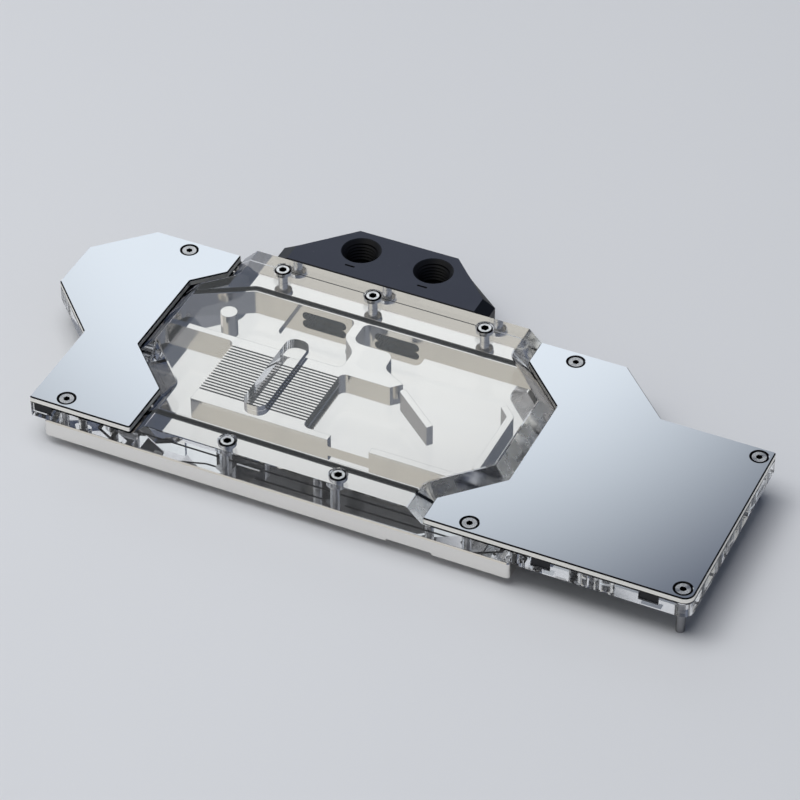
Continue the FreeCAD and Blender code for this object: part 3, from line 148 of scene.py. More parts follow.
class Tree:
    """Adds nodes to one node tree and joins them."""

    def __init__(self, tree):
        self.tree = tree
        self.tree.nodes.clear()

    def add(self, kind, inputs=None, **settings):
        """Add a node, set its properties, and feed its inputs by name or number."""
        node = self.tree.nodes.new(kind)
        for key, value in settings.items():
            setattr(node, key, value)
        for key, value in (inputs or {}).items():
            self.feed(node.inputs[key], value)
        return node

    def feed(self, socket, value):
        """Join an output to a socket, or set the socket's own value."""
        if isinstance(value, bpy.types.NodeSocket):
            self.tree.links.new(value, socket)
        else:
            socket.default_value = value

    def group(self, name, inputs=None):
        """A node that holds one of the shared groups."""
        node = self.add("ShaderNodeGroup", node_tree=bpy.data.node_groups[name])
        for key, value in (inputs or {}).items():
            self.feed(node.inputs[key], value)
        return node

    def math(self, operation, first, second=0.0, clamp=False):
        """One math node's value."""
        return self.add("ShaderNodeMath", {0: first, 1: second}, operation=operation,
                        use_clamp=clamp).outputs[0]

    def vector(self, operation, first, second, output=0):
        """One vector math node's output."""
        return self.add("ShaderNodeVectorMath", {0: first, 1: second},
                        operation=operation).outputs[output]

    def ramp(self, value, low, high, out_low=0.0, out_high=1.0):
        """A value moved smoothly from one range to another, held at its ends."""
        return self.add("ShaderNodeMapRange",
                        {"Value": value, "From Min": low, "From Max": high,
                         "To Min": out_low, "To Max": out_high},
                        interpolation_type="SMOOTHSTEP").outputs["Result"]

    def mix(self, mask, first, second):
        """Two colours mixed by a mask."""
        return self.add("ShaderNodeMix", {0: mask, 6: first, 7: second},
                        data_type="RGBA").outputs[2]

    def place(self):
        """Object coordinates."""
        return self.add("ShaderNodeTexCoord").outputs["Object"]

    def axis(self, vector, name):
        """One component of a vector."""
        return self.add("ShaderNodeSeparateXYZ", {0: vector}).outputs[name]

    def over(self, value, limit):
        """Mask of the places where a value is over its limit."""
        return self.math("GREATER_THAN", value, limit)

    def under(self, value, limit):
        """Mask of the places where a value is under its limit."""
        return self.math("LESS_THAN", value, limit)

    def every(self, *masks):
        """Mask of the places that all the masks hold."""
        product = masks[0]
        for mask in masks[1:]:
            product = self.math("MULTIPLY", product, mask)
        return product

    def within(self, place, spans):
        """Mask of a box given as the axis, middle and half width of each span."""
        return self.every(*(
            self.under(self.math("ABSOLUTE", self.math(
                "SUBTRACT", self.axis(place, name), middle)), half)
            for name, middle, half in spans))

    def plan_reach(self, x, y):
        """Distance in plan from an upright axis."""
        flat = self.vector("MULTIPLY", self.place(), (1.0, 1.0, 0.0))
        return self.vector("DISTANCE", flat, (x, y, 0.0), "Value")

    def bump(self, height, strength, distance, normal=None):
        """A bump node's normal."""
        node = self.add("ShaderNodeBump", {"Height": height, "Strength": strength,
                                           "Distance": distance})
        if normal is not None:
            self.feed(node.inputs["Normal"], normal)
        return node.outputs["Normal"]


def new_group(name, inputs, outputs):
    """An empty shader node group with the named sockets."""
    group = bpy.data.node_groups.new(name, "ShaderNodeTree")
    tree = Tree(group)
    for label, kind, value in inputs:
        socket = group.interface.new_socket(label, in_out="INPUT", socket_type=kind)
        socket.default_value = value
    for label in outputs:
        group.interface.new_socket(label, in_out="OUTPUT", socket_type="NodeSocketFloat")
    return tree, tree.add("NodeGroupInput"), tree.add("NodeGroupOutput")


def grain_group():
    """Fine surface grain and slow blotches from object coordinates."""
    tree, source, target = new_group(
        "SurfaceGrain",
        [("Fine Scale", "NodeSocketFloat", 2000.0), ("Blotch Scale", "NodeSocketFloat", 60.0),
         ("Stretch", "NodeSocketVector", (1.0, 1.0, 1.0))],
        ["Fine", "Blotch"])
    stretched = tree.vector("MULTIPLY", tree.place(), source.outputs["Stretch"])
    for label, detail in (("Fine", 3.0), ("Blotch", 4.0)):
        noise = tree.add("ShaderNodeTexNoise", {"Vector": stretched, "Detail": detail,
                                                "Scale": source.outputs[label + " Scale"]})
        tree.feed(target.inputs[label], noise.outputs["Fac"])


def slope_group():
    """Masks for level, upright, bevelled and back left faces from the surface normal."""
    tree, _, target = new_group("FaceSlope", [], ["Level", "Upright", "Bevel", "Back Left"])
    normal = tree.add("ShaderNodeNewGeometry").outputs["True Normal"]
    leaning = tree.vector("DOT_PRODUCT", normal, (-0.7, 0.7, 0.0), "Value")
    rise = tree.math("ABSOLUTE", tree.axis(normal, "Z"))
    level = tree.over(rise, 0.96)
    upright = tree.under(rise, 0.2)
    bevel = tree.math("SUBTRACT", tree.math("SUBTRACT", 1.0, level), upright, clamp=True)
    tree.feed(target.inputs["Level"], level)
    tree.feed(target.inputs["Upright"], upright)
    tree.feed(target.inputs["Bevel"], bevel)
    tree.feed(target.inputs["Back Left"], tree.over(leaning, 0.1))


def dust_group():
    """Sparse specks of dust."""
    tree, source, target = new_group(
        "DustSpecks",
        [("Scale", "NodeSocketFloat", 900.0), ("Amount", "NodeSocketFloat", 0.06)], ["Mask"])
    cells = tree.add("ShaderNodeTexVoronoi", {"Vector": tree.place(),
                                              "Scale": source.outputs["Scale"]})
    pick = tree.under(tree.axis(cells.outputs["Color"], "X"), source.outputs["Amount"])
    near = tree.ramp(cells.outputs["Distance"], 0.28, 0.08)
    tree.feed(target.inputs["Mask"], tree.every(pick, near))


def new_material(name, blotch, fine=2000.0, stretch=(1.0, 1.0, 1.0)):
    """A fresh material with a Principled shader and the shared grain."""
    material = bpy.data.materials.new(name)
    material.use_nodes = True
    tree = Tree(material.node_tree)
    output = tree.add("ShaderNodeOutputMaterial")
    shader = tree.add("ShaderNodeBsdfPrincipled")
    tree.feed(output.inputs["Surface"], shader.outputs[0])
    grain = tree.group("SurfaceGrain", {"Fine Scale": fine, "Blotch Scale": blotch,
                                        "Stretch": stretch})
    return material, tree, shader, grain.outputs


def opaque(colour):
    """A colour with full alpha."""
    return tuple(colour) + (1.0,)


def axis_of(name):
    """Plan place of the middle of a node."""
    low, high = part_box(name)
    return (low[0] + high[0]) / 2, (low[1] + high[1]) / 2


def give(node_names, material):
    """Put a material on CAD nodes."""
    for name in node_names:
        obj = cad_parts[name]
        obj.data.materials.clear()
        obj.data.materials.append(material)


# Materials

def nickel_material(values):
    """Bright nickel over milled copper with painted shade: darker upright walls, dark fin gaps
    and blue passages; worn land edges.
    """
    material, tree, shader, grain = new_material("NickelPlate", 90.0, 5200.0, (0.12, 1.0, 1.0))
    slope = tree.group("FaceSlope").outputs
    place = tree.place()
    height = tree.axis(place, "Z")
    fins = tree.within(place, (("X", 0.0, values.fin_half_x), ("Y", 0.0, values.fin_half_y)))
    tone = tree.mix(grain["Blotch"], opaque(values.nickel_low), opaque(values.nickel_high))
    # Painted shade: every upright wall gets a slightly darker tone than the floors
    milled = tree.mix(slope["Upright"], tone, WALL_PAINTED_SHADE)
    # Painted shade: the fin gaps go dark below the fins' tops
    deep = tree.ramp(height, values.fin_top - 0.15 * MM, values.fin_top - 0.7 * MM)
    gaps = tree.mix(tree.every(deep, fins, tree.over(height, values.fin_foot)), milled, FIN_GAP_PAINTED_SHADE)
    # Painted shade: the passages to the ports get a blue shade
    passage = tree.every(tree.under(height, RIM_FOOT), tree.within(place, PASSAGES))
    tree.feed(shader.inputs["Base Color"], tree.mix(passage, gaps, PASSAGE_PAINTED_SHADE))
    shader.inputs["Metallic"].default_value = 1.0
    rough = tree.ramp(grain["Blotch"], 0.3, 0.7, values.nickel_roughness * 0.8,
                      values.nickel_roughness * 1.2)
    walls = tree.math("MULTIPLY", slope["Upright"], 0.05)
    tree.feed(shader.inputs["Roughness"], tree.math("ADD", rough, walls))
    worn = tree.add("ShaderNodeBevel", {"Radius": WORN_EDGE}, samples=6).outputs["Normal"]
    plain = tree.add("ShaderNodeNewGeometry").outputs["Normal"]
    lands = tree.every(tree.over(height, RIM_FOOT), tree.under(tree.axis(place, "Y"), POOL_BACK))
    bare_lands = tree.math("SUBTRACT", lands, fins, clamp=True)
    normal = tree.add("ShaderNodeMix", {"Factor": bare_lands, 4: plain, 5: worn},
                      data_type="VECTOR").outputs[1]
    tree.feed(shader.inputs["Normal"], tree.bump(grain["Fine"], 0.05, 0.002 * MM, normal))
    return material


def cover_material(values):
    """Mirror polished metal with cream cut edges; painted shade on the bevels, with a painted
    highlight on those facing the back left, and a painted shadow line along the foot.
    """
    material, tree, shader, grain = new_material("PolishedCover", 35.0, 3000.0)
    slope = tree.group("FaceSlope").outputs
    face = tree.mix(grain["Blotch"], opaque(values.cover_low), opaque(values.cover_high))
    edged = tree.mix(slope["Upright"], face, CUT_EDGE)
    # Painted highlight on bevels facing the back left, painted shade on the others
    bevel = tree.mix(slope["Back Left"], BEVEL_PAINTED_SHADE, BEVEL_PAINTED_HIGHLIGHT)
    bevelled = tree.mix(slope["Bevel"], edged, bevel)
    # Painted shadow line along the foot of the covers' edges
    foot_shadow = tree.under(tree.axis(tree.place(), "Z"), COVER_FOOT)
    tree.feed(shader.inputs["Base Color"], tree.mix(foot_shadow, bevelled, FOOT_PAINTED_SHADOW))
    shader.inputs["Metallic"].default_value = 1.0
    smooth = tree.ramp(grain["Blotch"], 0.35, 0.7, values.cover_roughness,
                       values.cover_roughness * 1.8)
    edge = tree.math("MULTIPLY", slope["Upright"], 0.42)
    tree.feed(shader.inputs["Roughness"], tree.math("ADD", smooth, edge, clamp=True))
    tree.feed(shader.inputs["Normal"], tree.bump(grain["Fine"], 0.02, 0.01 * MM))
    return material


def acrylic_material(values):
    """Clear cast acrylic, polished, with saw marks on the right slopes and dull bores."""
    material, tree, shader, grain = new_material("ClearAcrylic", 25.0)
    slope = tree.group("FaceSlope").outputs
    height = tree.axis(tree.place(), "Z")
    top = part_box("acrylic_top")[1][2]
    tone = tree.mix(grain["Blotch"], (0.985, 0.99, 0.99, 1.0), (1.0, 1.0, 1.0, 1.0))
    saw = tree.group("SurfaceGrain", {"Blotch Scale": 150.0, "Stretch": (1.0, 1.0, 0.25)})
    streaks = tree.ramp(saw.outputs["Blotch"], 0.4, 0.62)
    right = tree.over(tree.axis(tree.place(), "X"), values.window_middle)
    sawn = tree.every(slope["Bevel"], right, tree.under(height, top - EDGE_BREAK))
    tree.feed(shader.inputs["Base Color"], tree.mix(tree.every(sawn, streaks), tone, SAWN))
    haze = tree.ramp(grain["Blotch"], 0.5, 0.8, 0.0, 0.01)
    marks = tree.every(sawn, tree.ramp(streaks, 0.0, 1.0, 0.12, 0.38))
    rough = tree.math("ADD", haze, marks)
    skin = tree.over(height, top - TOP_SKIN)
    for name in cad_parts:
        if name.endswith("_window_screw"):
            near = tree.under(tree.plan_reach(*axis_of(name)), BORE_REACH)
            bore = tree.math("SUBTRACT", near, skin, clamp=True)
            rough = tree.math("ADD", rough, tree.math("MULTIPLY", bore, 0.2))
    tree.feed(shader.inputs["Roughness"], rough)
    shader.inputs["IOR"].default_value = 1.49
    shader.inputs["Transmission Weight"].default_value = 1.0
    return material


def rubber_material():
    """Soft black rubber."""
    material, tree, shader, grain = new_material("BlackRubber", 120.0, 2600.0)
    tone = tree.mix(grain["Blotch"], (0.004, 0.004, 0.007, 1.0), (0.009, 0.009, 0.014, 1.0))
    tree.feed(shader.inputs["Base Color"], tone)
    shader.inputs["Specular IOR Level"].default_value = 0.05
    tree.feed(shader.inputs["Roughness"], tree.ramp(grain["Fine"], 0.3, 0.7, 0.5, 0.65))
    tree.feed(shader.inputs["Normal"], tree.bump(grain["Fine"], 0.2, 0.05 * MM))
    return material


def acetal_material(values, name, ports=(), top=0.0):
    """Black acetal, fine grained, a little dusty, with painted shade: darker on its sides and
    black in its ports.
    """
    material, tree, shader, grain = new_material(name, 70.0, 3800.0)
    dust = tree.group("DustSpecks", {"Scale": 700.0, "Amount": 0.04}).outputs["Mask"]
    slope = tree.group("FaceSlope").outputs
    clean = tree.mix(grain["Blotch"], opaque(values.acetal_low), opaque(values.acetal_high))
    dusty = tree.mix(tree.math("MULTIPLY", dust, 0.15), clean, DUST)
    # Painted shade: faces that are not level are darker than the top
    tone = tree.mix(slope["Level"], SIDE_PAINTED_SHADE, dusty)
    # Painted shade: each port is black inside below its lip
    for x, y in ports:
        inside = tree.under(tree.plan_reach(x, y), PORT_REACH)
        sunk = tree.under(tree.axis(tree.place(), "Z"), top - PORT_LIP)
        tone = tree.mix(tree.every(inside, sunk), tone, PORT_PAINTED_SHADE)
    tree.feed(shader.inputs["Base Color"], tone)
    tree.feed(shader.inputs["Roughness"], tree.ramp(grain["Fine"], 0.3, 0.7, 0.42, 0.5))
    shader.inputs["Specular IOR Level"].default_value = 0.35
    tree.feed(shader.inputs["Normal"], tree.bump(grain["Fine"], 0.15, 0.03 * MM))
    return material


def screw_material(node, look):
    """Plated screw round its own axis: turned head and threaded shank, with painted shade in the
    socket, on a ring at the head's edge and below the head's top band.
    """
    material, tree, shader, grain = new_material("Finish_" + node, 300.0, 4200.0)
    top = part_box(node)[1][2]
    reach = tree.plan_reach(*axis_of(node))
    height = tree.axis(tree.place(), "Z")
    head = tree.over(height, top - HEAD_BAND)
    shank = tree.under(height, top - HEAD_HEIGHT)
    # Painted shade in the socket
    socket_shade = tree.every(tree.under(reach, look["socket"]), tree.under(height, top - HEAD_SKIN),
                        tree.over(height, top - HEAD_HEIGHT))
    # Painted shade on a ring at the head's edge
    ring = tree.every(tree.ramp(reach, look["ring"] - RING_BLUR, look["ring"] + RING_BLUR), head)
    plated = tree.mix(grain["Blotch"], *look["tones"])
    # Painted shade below the head's top band
    below_band_shaded = tree.mix(tree.under(height, top - HEAD_BAND), plated, SHANK_PAINTED_SHADE)
    ring_shaded = tree.mix(ring, below_band_shaded, look["ring_painted_shade"])
    tree.feed(shader.inputs["Base Color"], tree.mix(socket_shade, ring_shaded, SOCKET_PAINTED_SHADE))
    shader.inputs["Metallic"].default_value = 1.0
    tree.feed(shader.inputs["Roughness"], tree.ramp(grain["Fine"], 0.3, 0.7, 0.09, 0.16))
    turned = tree.math("SINE", tree.math("MULTIPLY", reach, 2 * math.pi / TURNED_RING))
    thread = tree.math("MULTIPLY", tree.math("PINGPONG", height, HALF_THREAD), 1.0 / HALF_THREAD)
    relief = tree.math("ADD", tree.every(thread, shank), tree.math("MULTIPLY", turned, 0.02))
    tree.feed(shader.inputs["Normal"], tree.bump(relief, 0.5, 0.15 * MM))
    return material


def shaded_hidden_screw_material():
    """Screws under the covers and behind the terminal block, painted black as painted shade."""
    material, tree, shader, grain = new_material("Finish_shaded_screws", 300.0, 4200.0)
    shader.inputs["Base Color"].default_value = (0.0, 0.0, 0.0, 1.0)
    shader.inputs["Metallic"].default_value = 1.0
    tree.feed(shader.inputs["Roughness"], tree.ramp(grain["Fine"], 0.3, 0.7, 0.09, 0.16))
    return material


def brass_material():
    """Turned brass."""
    material, tree, shader, grain = new_material("TurnedBrass", 200.0, 3000.0, (1.0, 1.0, 6.0))
    tone = tree.mix(grain["Blotch"], (0.62, 0.46, 0.2, 1.0), (0.78, 0.62, 0.32, 1.0))
    tree.feed(shader.inputs["Base Color"], tone)
    shader.inputs["Metallic"].default_value = 1.0
    tree.feed(shader.inputs["Roughness"], tree.ramp(grain["Fine"], 0.3, 0.7, 0.22, 0.36))
    tree.feed(shader.inputs["Normal"], tree.bump(grain["Fine"], 0.2, 0.04 * MM))
    return material


def paint_material():
    """Black marking on the terminal block."""
    material, tree, shader, grain = new_material("MarkPaint", 900.0, 3000.0)
    tone = tree.mix(grain["Blotch"], (0.001, 0.001, 0.001, 1.0), (0.003, 0.003, 0.003, 1.0))
    tree.feed(shader.inputs["Base Color"], tone)
    shader.inputs["Roughness"].default_value = 0.7
    shader.inputs["Specular IOR Level"].default_value = 0.03
    tree.feed(shader.inputs["Normal"], tree.bump(grain["Fine"], 0.2, 0.04 * MM))
    return material


def floor_material(values):
    """Pale studio paper."""
    material, tree, shader, grain = new_material("StudioFloor", 3.0, 400.0)
    tone = tree.mix(grain["Blotch"], opaque(values.floor_low), opaque(values.floor_high))
    tree.feed(shader.inputs["Base Color"], tone)
    shader.inputs["Roughness"].default_value = 0.7
    tree.feed(shader.inputs["Normal"], tree.bump(grain["Fine"], 0.05, 0.1 * MM))
    return material


# Geometry helpers

def deselect():
    """Clear the selection."""
    bpy.ops.object.select_all(action="DESELECT")


def settle(obj, name, material):
    """Name a new piece, move its place into its mesh, and let it ride on the body."""
    obj.name = name
    obj.data.name = name
    deselect()
    obj.select_set(True)
    bpy.context.view_layer.objects.active = obj
    bpy.ops.object.transform_apply(location=True, rotation=True, scale=True)
    obj.data.materials.clear()
    obj.data.materials.append(material)
    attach(obj, "root")


def port_thread(name, x, y, top, values, material):
    """Thread ridges on the wall of a port: a small profile swept by a Screw modifier."""
    radius, pitch = values.bore / 2, values.pitch
    deselect()
    bpy.ops.mesh.primitive_circle_add(vertices=3, radius=1.0, fill_type="NOTHING",
                                      location=(0.0, 0.0, 0.0))
    obj = bpy.context.object
    profile = [(radius + THREAD_BITE, 0.0, pitch * 0.42), (radius - values.ridge, 0.0, 0.0),
               (radius + THREAD_BITE, 0.0, -pitch * 0.42)]
    for vertex, place in zip(obj.data.vertices, profile):
        vertex.co = place
    bpy.ops.object.modifier_add(type="SCREW")
    screw = obj.modifiers[-1]
    screw.axis = "Z"
    screw.screw_offset = pitch
    screw.iterations = int(values.depth / pitch) - 1
    screw.steps = 48
    screw.render_steps = 48
    screw.use_normal_calculate = True
    bpy.ops.object.modifier_apply(modifier=screw.name)
    obj.location = (x, y, top - values.depth + pitch * 0.6)
    settle(obj, name, material)
    bpy.ops.object.shade_smooth_by_angle(angle=math.radians(25))


def port_mark(name, x, y, top, values, material):
    """Short dash on the terminal block's top, before a port."""
    deselect()
    bpy.ops.mesh.primitive_cube_add(size=1.0, location=(x, y, top))
    obj = bpy.context.object
    obj.scale = (values.mark_length, values.mark_width, values.mark_height)
    bpy.ops.object.transform_apply(location=False, rotation=False, scale=True)
    bpy.ops.object.modifier_add(type="BEVEL")
    bevel = obj.modifiers[-1]
    bevel.width = MARK_BEVEL
    bevel.segments = 2
    bpy.ops.object.modifier_apply(modifier=bevel.name)
    settle(obj, name, material)


# Studio

def turn_to(obj, aim):
    """Turn a lamp or camera to a point."""
    obj.rotation_euler = (Vector(aim) - obj.location).to_track_quat("-Z", "Y").to_euler()


def studio_world(context):
    """Grey all round, white overhead, dark at the right and the back, bright at the back left."""
    world = bpy.data.worlds.new("Studio")
    world.use_nodes = True
    context.scene.world = world
    tree = Tree(world.node_tree)
    output = tree.add("ShaderNodeOutputWorld")
    shade = tree.add("ShaderNodeBackground")
    tree.feed(output.inputs["Surface"], shade.outputs[0])
    ray = tree.add("ShaderNodeTexCoord").outputs["Generated"]
    colour = SKY
    for azimuth, elevation, end, full, tone in SKY_PATCHES:
        turn, lift = math.radians(azimuth), math.radians(elevation)
        aim = (math.sin(turn) * math.cos(lift), math.cos(turn) * math.cos(lift), math.sin(lift))
        angle = tree.math("ARCCOSINE", tree.vector("DOT_PRODUCT", ray, aim, "Value"))
        mask = tree.ramp(angle, math.radians(end), math.radians(full))
        colour = tree.mix(mask, colour, tone)
    tree.feed(shade.inputs["Color"], colour)
    shade.inputs["Strength"].default_value = 1.0


def studio_lamps(context):
    """Two large soft lamps, overhead and high at the left, not seen in mirror and glass."""
    for name, place, width, power in LAMPS:
        light = bpy.data.lights.new(name, "AREA")
        light.shape = "DISK"
        light.size = width
        light.energy = power
        lamp = bpy.data.objects.new(name, light)
        context.scene.collection.objects.link(lamp)
        lamp.location = place
        lamp.visible_glossy = False
        lamp.visible_transmission = False
        turn_to(lamp, LAMP_AIM)


def studio_camera(context, values):
    """Camera at the photo's angle."""
    camera = bpy.data.cameras.new("camera")
    camera.lens = values.lens
    camera.sensor_width = 36.0
    camera.clip_start = 0.01
    camera.clip_end = 50.0
    eye = bpy.data.objects.new("camera", camera)
    context.scene.collection.objects.link(eye)
    eye.location = values.eye
    turn_to(eye, values.aim)
    context.scene.camera = eye


# Property groups

class FinishValues(bpy.types.PropertyGroup):
    """Finishes of the block."""
    nickel_low: bpy.props.FloatVectorProperty(
        name="Nickel Shade", description="Darker tone of the plated cold plate",
        default=(0.94, 0.9, 0.86), subtype="COLOR", size=3)
    nickel_high: bpy.props.FloatVectorProperty(
        name="Nickel Tone", description="Lighter tone of the plated cold plate",
        default=(0.98, 0.945, 0.91), subtype="COLOR", size=3)
    nickel_roughness: bpy.props.FloatProperty(
        name="Nickel Roughness", description="Roughness of the plated cold plate",
        default=0.07, min=0.0, max=1.0)
    fin_top: bpy.props.FloatProperty(
        name="Fin Top", description="Height of the fins' tops", default=FIN_TOP,
        subtype="DISTANCE", unit="LENGTH")
    fin_foot: bpy.props.FloatProperty(
        name="Fin Foot", description="Height of the gaps' floor", default=FIN_FOOT,
        subtype="DISTANCE", unit="LENGTH")
    fin_half_x: bpy.props.FloatProperty(
        name="Fin Half Length", description="Half of the fin field along the card",
        default=FIN_HALF_X, subtype="DISTANCE", unit="LENGTH")
    fin_half_y: bpy.props.FloatProperty(
        name="Fin Half Depth", description="Half of the fin field across the card",
        default=FIN_HALF_Y, subtype="DISTANCE", unit="LENGTH")
    window_middle: bpy.props.FloatProperty(
        name="Window Middle", description="Slopes of the window right of it show saw marks",
        default=40.0 * MM, subtype="DISTANCE", unit="LENGTH")
    cover_low: bpy.props.FloatVectorProperty(
        name="Cover Shade", description="Darker tone of the polished covers",
        default=(0.84, 0.875, 0.93), subtype="COLOR", size=3)
    cover_high: bpy.props.FloatVectorProperty(
        name="Cover Tone", description="Lighter tone of the polished covers",
        default=(0.87, 0.905, 0.96), subtype="COLOR", size=3)
    cover_roughness: bpy.props.FloatProperty(
        name="Cover Roughness", description="Roughness of the polished covers",
        default=0.03, min=0.0, max=1.0)
    acetal_low: bpy.props.FloatVectorProperty(
        name="Acetal Shade", description="Darker tone of the terminal block's top",
        default=(0.03, 0.034, 0.05), subtype="COLOR", size=3)
    acetal_high: bpy.props.FloatVectorProperty(
        name="Acetal Tone", description="Lighter tone of the terminal block's top",
        default=(0.04, 0.045, 0.063), subtype="COLOR", size=3)


class PortValues(bpy.types.PropertyGroup):
    """Threads in the terminal block's ports, and the dashes before them."""
    bore: bpy.props.FloatProperty(
        name="Bore", description="Diameter of the port's bore", default=11.45 * MM,
        subtype="DISTANCE", unit="LENGTH")
    pitch: bpy.props.FloatProperty(
        name="Pitch", description="Rise of the thread in one turn", default=1.337 * MM,
        subtype="DISTANCE", unit="LENGTH")
    ridge: bpy.props.FloatProperty(
        name="Ridge", description="Height of the thread ridge on the wall", default=0.5 * MM,
        subtype="DISTANCE", unit="LENGTH")
    depth: bpy.props.FloatProperty(
        name="Depth", description="Depth of the threaded wall below the top", default=9.0 * MM,
        subtype="DISTANCE", unit="LENGTH")
    mark_length: bpy.props.FloatProperty(
        name="Mark Length", description="Length of the dash before a port", default=3.6 * MM,
        subtype="DISTANCE", unit="LENGTH")
    mark_width: bpy.props.FloatProperty(
        name="Mark Width", description="Width of the dash before a port", default=0.75 * MM,
        subtype="DISTANCE", unit="LENGTH")
    mark_height: bpy.props.FloatProperty(
        name="Mark Height", description="Height of the dash, half of it sunk in the top",
        default=0.05 * MM, subtype="DISTANCE", unit="LENGTH")


class StudioValues(bpy.types.PropertyGroup):
    """Floor and camera."""
    floor_low: bpy.props.FloatVectorProperty(
        name="Floor Shade", description="Darker tone of the floor", default=(0.66, 0.67, 0.69),
        subtype="COLOR", size=3)
    floor_high: bpy.props.FloatVectorProperty(
        name="Floor Tone", description="Lighter tone of the floor", default=(0.7, 0.71, 0.73),
        subtype="COLOR", size=3)
    floor_size: bpy.props.FloatProperty(
        name="Floor Size", description="Side of the square floor", default=8.0,
        subtype="DISTANCE", unit="LENGTH")
    lens: bpy.props.FloatProperty(
        name="Lens", description="Focal length in millimetres", default=153.9)
    eye: bpy.props.FloatVectorProperty(
        name="Eye", description="Camera position", default=(0.40265, -0.76935, 0.7410),
        subtype="TRANSLATION", size=3)
    aim: bpy.props.FloatVectorProperty(
        name="Aim", description="Point the camera looks at", default=(0.04465, 0.00715, 0.0156),
        subtype="TRANSLATION", size=3)


# Operators

class MakeEffects(bpy.types.Operator):
    """Make the shared shader groups"""
    bl_idname = "block.make_effects"
    bl_label = "Shared Effects"
    bl_options = {"REGISTER", "UNDO"}

    def execute(self, context):
        grain_group()
        slope_group()
        dust_group()
        return {"FINISHED"}


class FinishPlate(bpy.types.Operator):
    """Nickel plate the cold plate and finish the standoffs"""
    bl_idname = "block.finish_plate"
    bl_label = "Cold Plate"
    bl_options = {"REGISTER", "UNDO"}

    def execute(self, context):
        give(["cold_plate"], nickel_material(context.scene.block_finish))
        give(["chip_standoffs", "end_standoffs"], brass_material())
        return {"FINISHED"}


class FinishTop(bpy.types.Operator):
    """Make the top clear, the seals rubber and the notches' blanks black, dark pieces that stand
    in for the shade in the notches
    """
    bl_idname = "block.finish_top"
    bl_label = "Clear Top"
    bl_options = {"REGISTER", "UNDO"}

    def execute(self, context):
        values = context.scene.block_finish
        give(["acrylic_top"], acrylic_material(values))
        give(["channel_seal", "inlet_seal", "outlet_seal"], rubber_material())
        # Black blanks fill the notches as dark pieces standing in for the shade inside them
        give(["lamp_blanks"], acetal_material(values, "NotchShadeAcetal"))
        return {"FINISHED"}


class FinishCovers(bpy.types.Operator):
    """Polish the two covers"""
    bl_idname = "block.finish_covers"
    bl_label = "Covers"
    bl_options = {"REGISTER", "UNDO"}

    def execute(self, context):
        give(["left_cover", "right_cover"], cover_material(context.scene.block_finish))
        return {"FINISHED"}


class FinishTerminal(bpy.types.Operator):
    """Finish the terminal block, cut its threads and mark its ports"""
    bl_idname = "block.finish_terminal"
    bl_label = "Terminal Block"
    bl_options = {"REGISTER", "UNDO"}

    def execute(self, context):
        ports = context.scene.block_ports
        paint = paint_material()
        low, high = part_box("terminal_block")
        middle, y, top = (low[0] + high[0]) / 2, low[1] + PORT_FROM_FRONT, high[2]
        places = {"inlet": middle - PORT_SPREAD, "outlet": middle + PORT_SPREAD}
        acetal = acetal_material(context.scene.block_finish, "PortAcetal",
                                 [(x, y) for x in places.values()], top)
        give(["terminal_block"], acetal)
        for name, x in places.items():
            port_thread(name + "_thread", x, y, top, ports, acetal)
            port_mark(name + "_mark", x, y - MARK_FROM_PORT, top, ports, paint)
        return {"FINISHED"}


class FinishScrews(bpy.types.Operator):
    """Finish each visible screw round its own axis, and the hidden screws together, painted black
    as painted shade
    """
    bl_idname = "block.finish_screws"
    bl_label = "Screws"
    bl_options = {"REGISTER", "UNDO"}

    def execute(self, context):
        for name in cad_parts:
            for ending, look in SCREW_LOOKS.items():
                if name.endswith(ending):
                    give([name], screw_material(name, look))
        # The hidden screws are painted black as painted shade
        give(["left_wing_screws", "right_wing_screws", "terminal_screws"],
             shaded_hidden_screw_material())
        return {"FINISHED"}


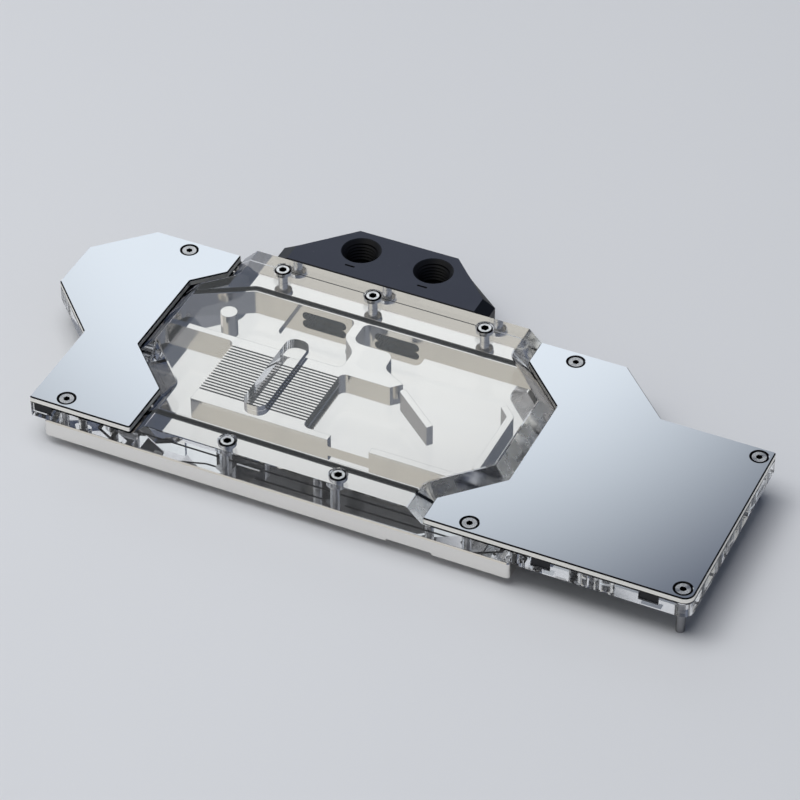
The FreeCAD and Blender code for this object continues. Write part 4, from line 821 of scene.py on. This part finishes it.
class BuildStudio(bpy.types.Operator):
    """Set the floor, world, lamps and camera"""
    bl_idname = "block.build_studio"
    bl_label = "Studio"
    bl_options = {"REGISTER", "UNDO"}

    def execute(self, context):
        values = context.scene.block_studio
        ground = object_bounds()[0][2]
        deselect()
        bpy.ops.mesh.primitive_plane_add(size=values.floor_size, location=(0.0, 0.0, ground))
        floor = bpy.context.object
        floor.name = "studio_floor"
        floor.data.materials.append(floor_material(values))
        floor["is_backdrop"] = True
        studio_world(context)
        studio_lamps(context)
        studio_camera(context, values)
        context.scene.view_settings.view_transform = "Standard"
        # Light bounces many times between the clear top and the plate
        context.scene.cycles.max_bounces = 48
        context.scene.cycles.glossy_bounces = 40
        context.scene.cycles.transmission_bounces = 20
        return {"FINISHED"}


OPERATORS = (MakeEffects, FinishPlate, FinishTop, FinishCovers, FinishTerminal, FinishScrews,
             BuildStudio)


class BlockPanel(bpy.types.Panel):
    """Sidebar panel with the add-on's values and steps"""
    bl_idname = "VIEW3D_PT_water_block"
    bl_label = "Water Block"
    bl_space_type = "VIEW_3D"
    bl_region_type = "UI"
    bl_category = "Water Block"

    def draw(self, context):
        for group in (context.scene.block_finish, context.scene.block_ports,
                      context.scene.block_studio):
            box = self.layout.box()
            for name in group.__annotations__:
                box.prop(group, name)
        for operator in OPERATORS:
            self.layout.operator(operator.bl_idname)


CLASSES = (FinishValues, PortValues, StudioValues) + OPERATORS + (BlockPanel,)


def register():
    for item in CLASSES:
        bpy.utils.register_class(item)
    bpy.types.Scene.block_finish = bpy.props.PointerProperty(type=FinishValues)
    bpy.types.Scene.block_ports = bpy.props.PointerProperty(type=PortValues)
    bpy.types.Scene.block_studio = bpy.props.PointerProperty(type=StudioValues)


def unregister():
    for name in ("block_finish", "block_ports", "block_studio"):
        delattr(bpy.types.Scene, name)
    for item in reversed(CLASSES):
        bpy.utils.unregister_class(item)


def main():
    """Register the add-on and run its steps."""
    register()
    bpy.ops.block.make_effects()
    bpy.ops.block.finish_plate()
    bpy.ops.block.finish_top()
    bpy.ops.block.finish_covers()
    bpy.ops.block.finish_terminal()
    bpy.ops.block.finish_screws()
    bpy.ops.block.build_studio()


if __name__ == "__main__":
    main()
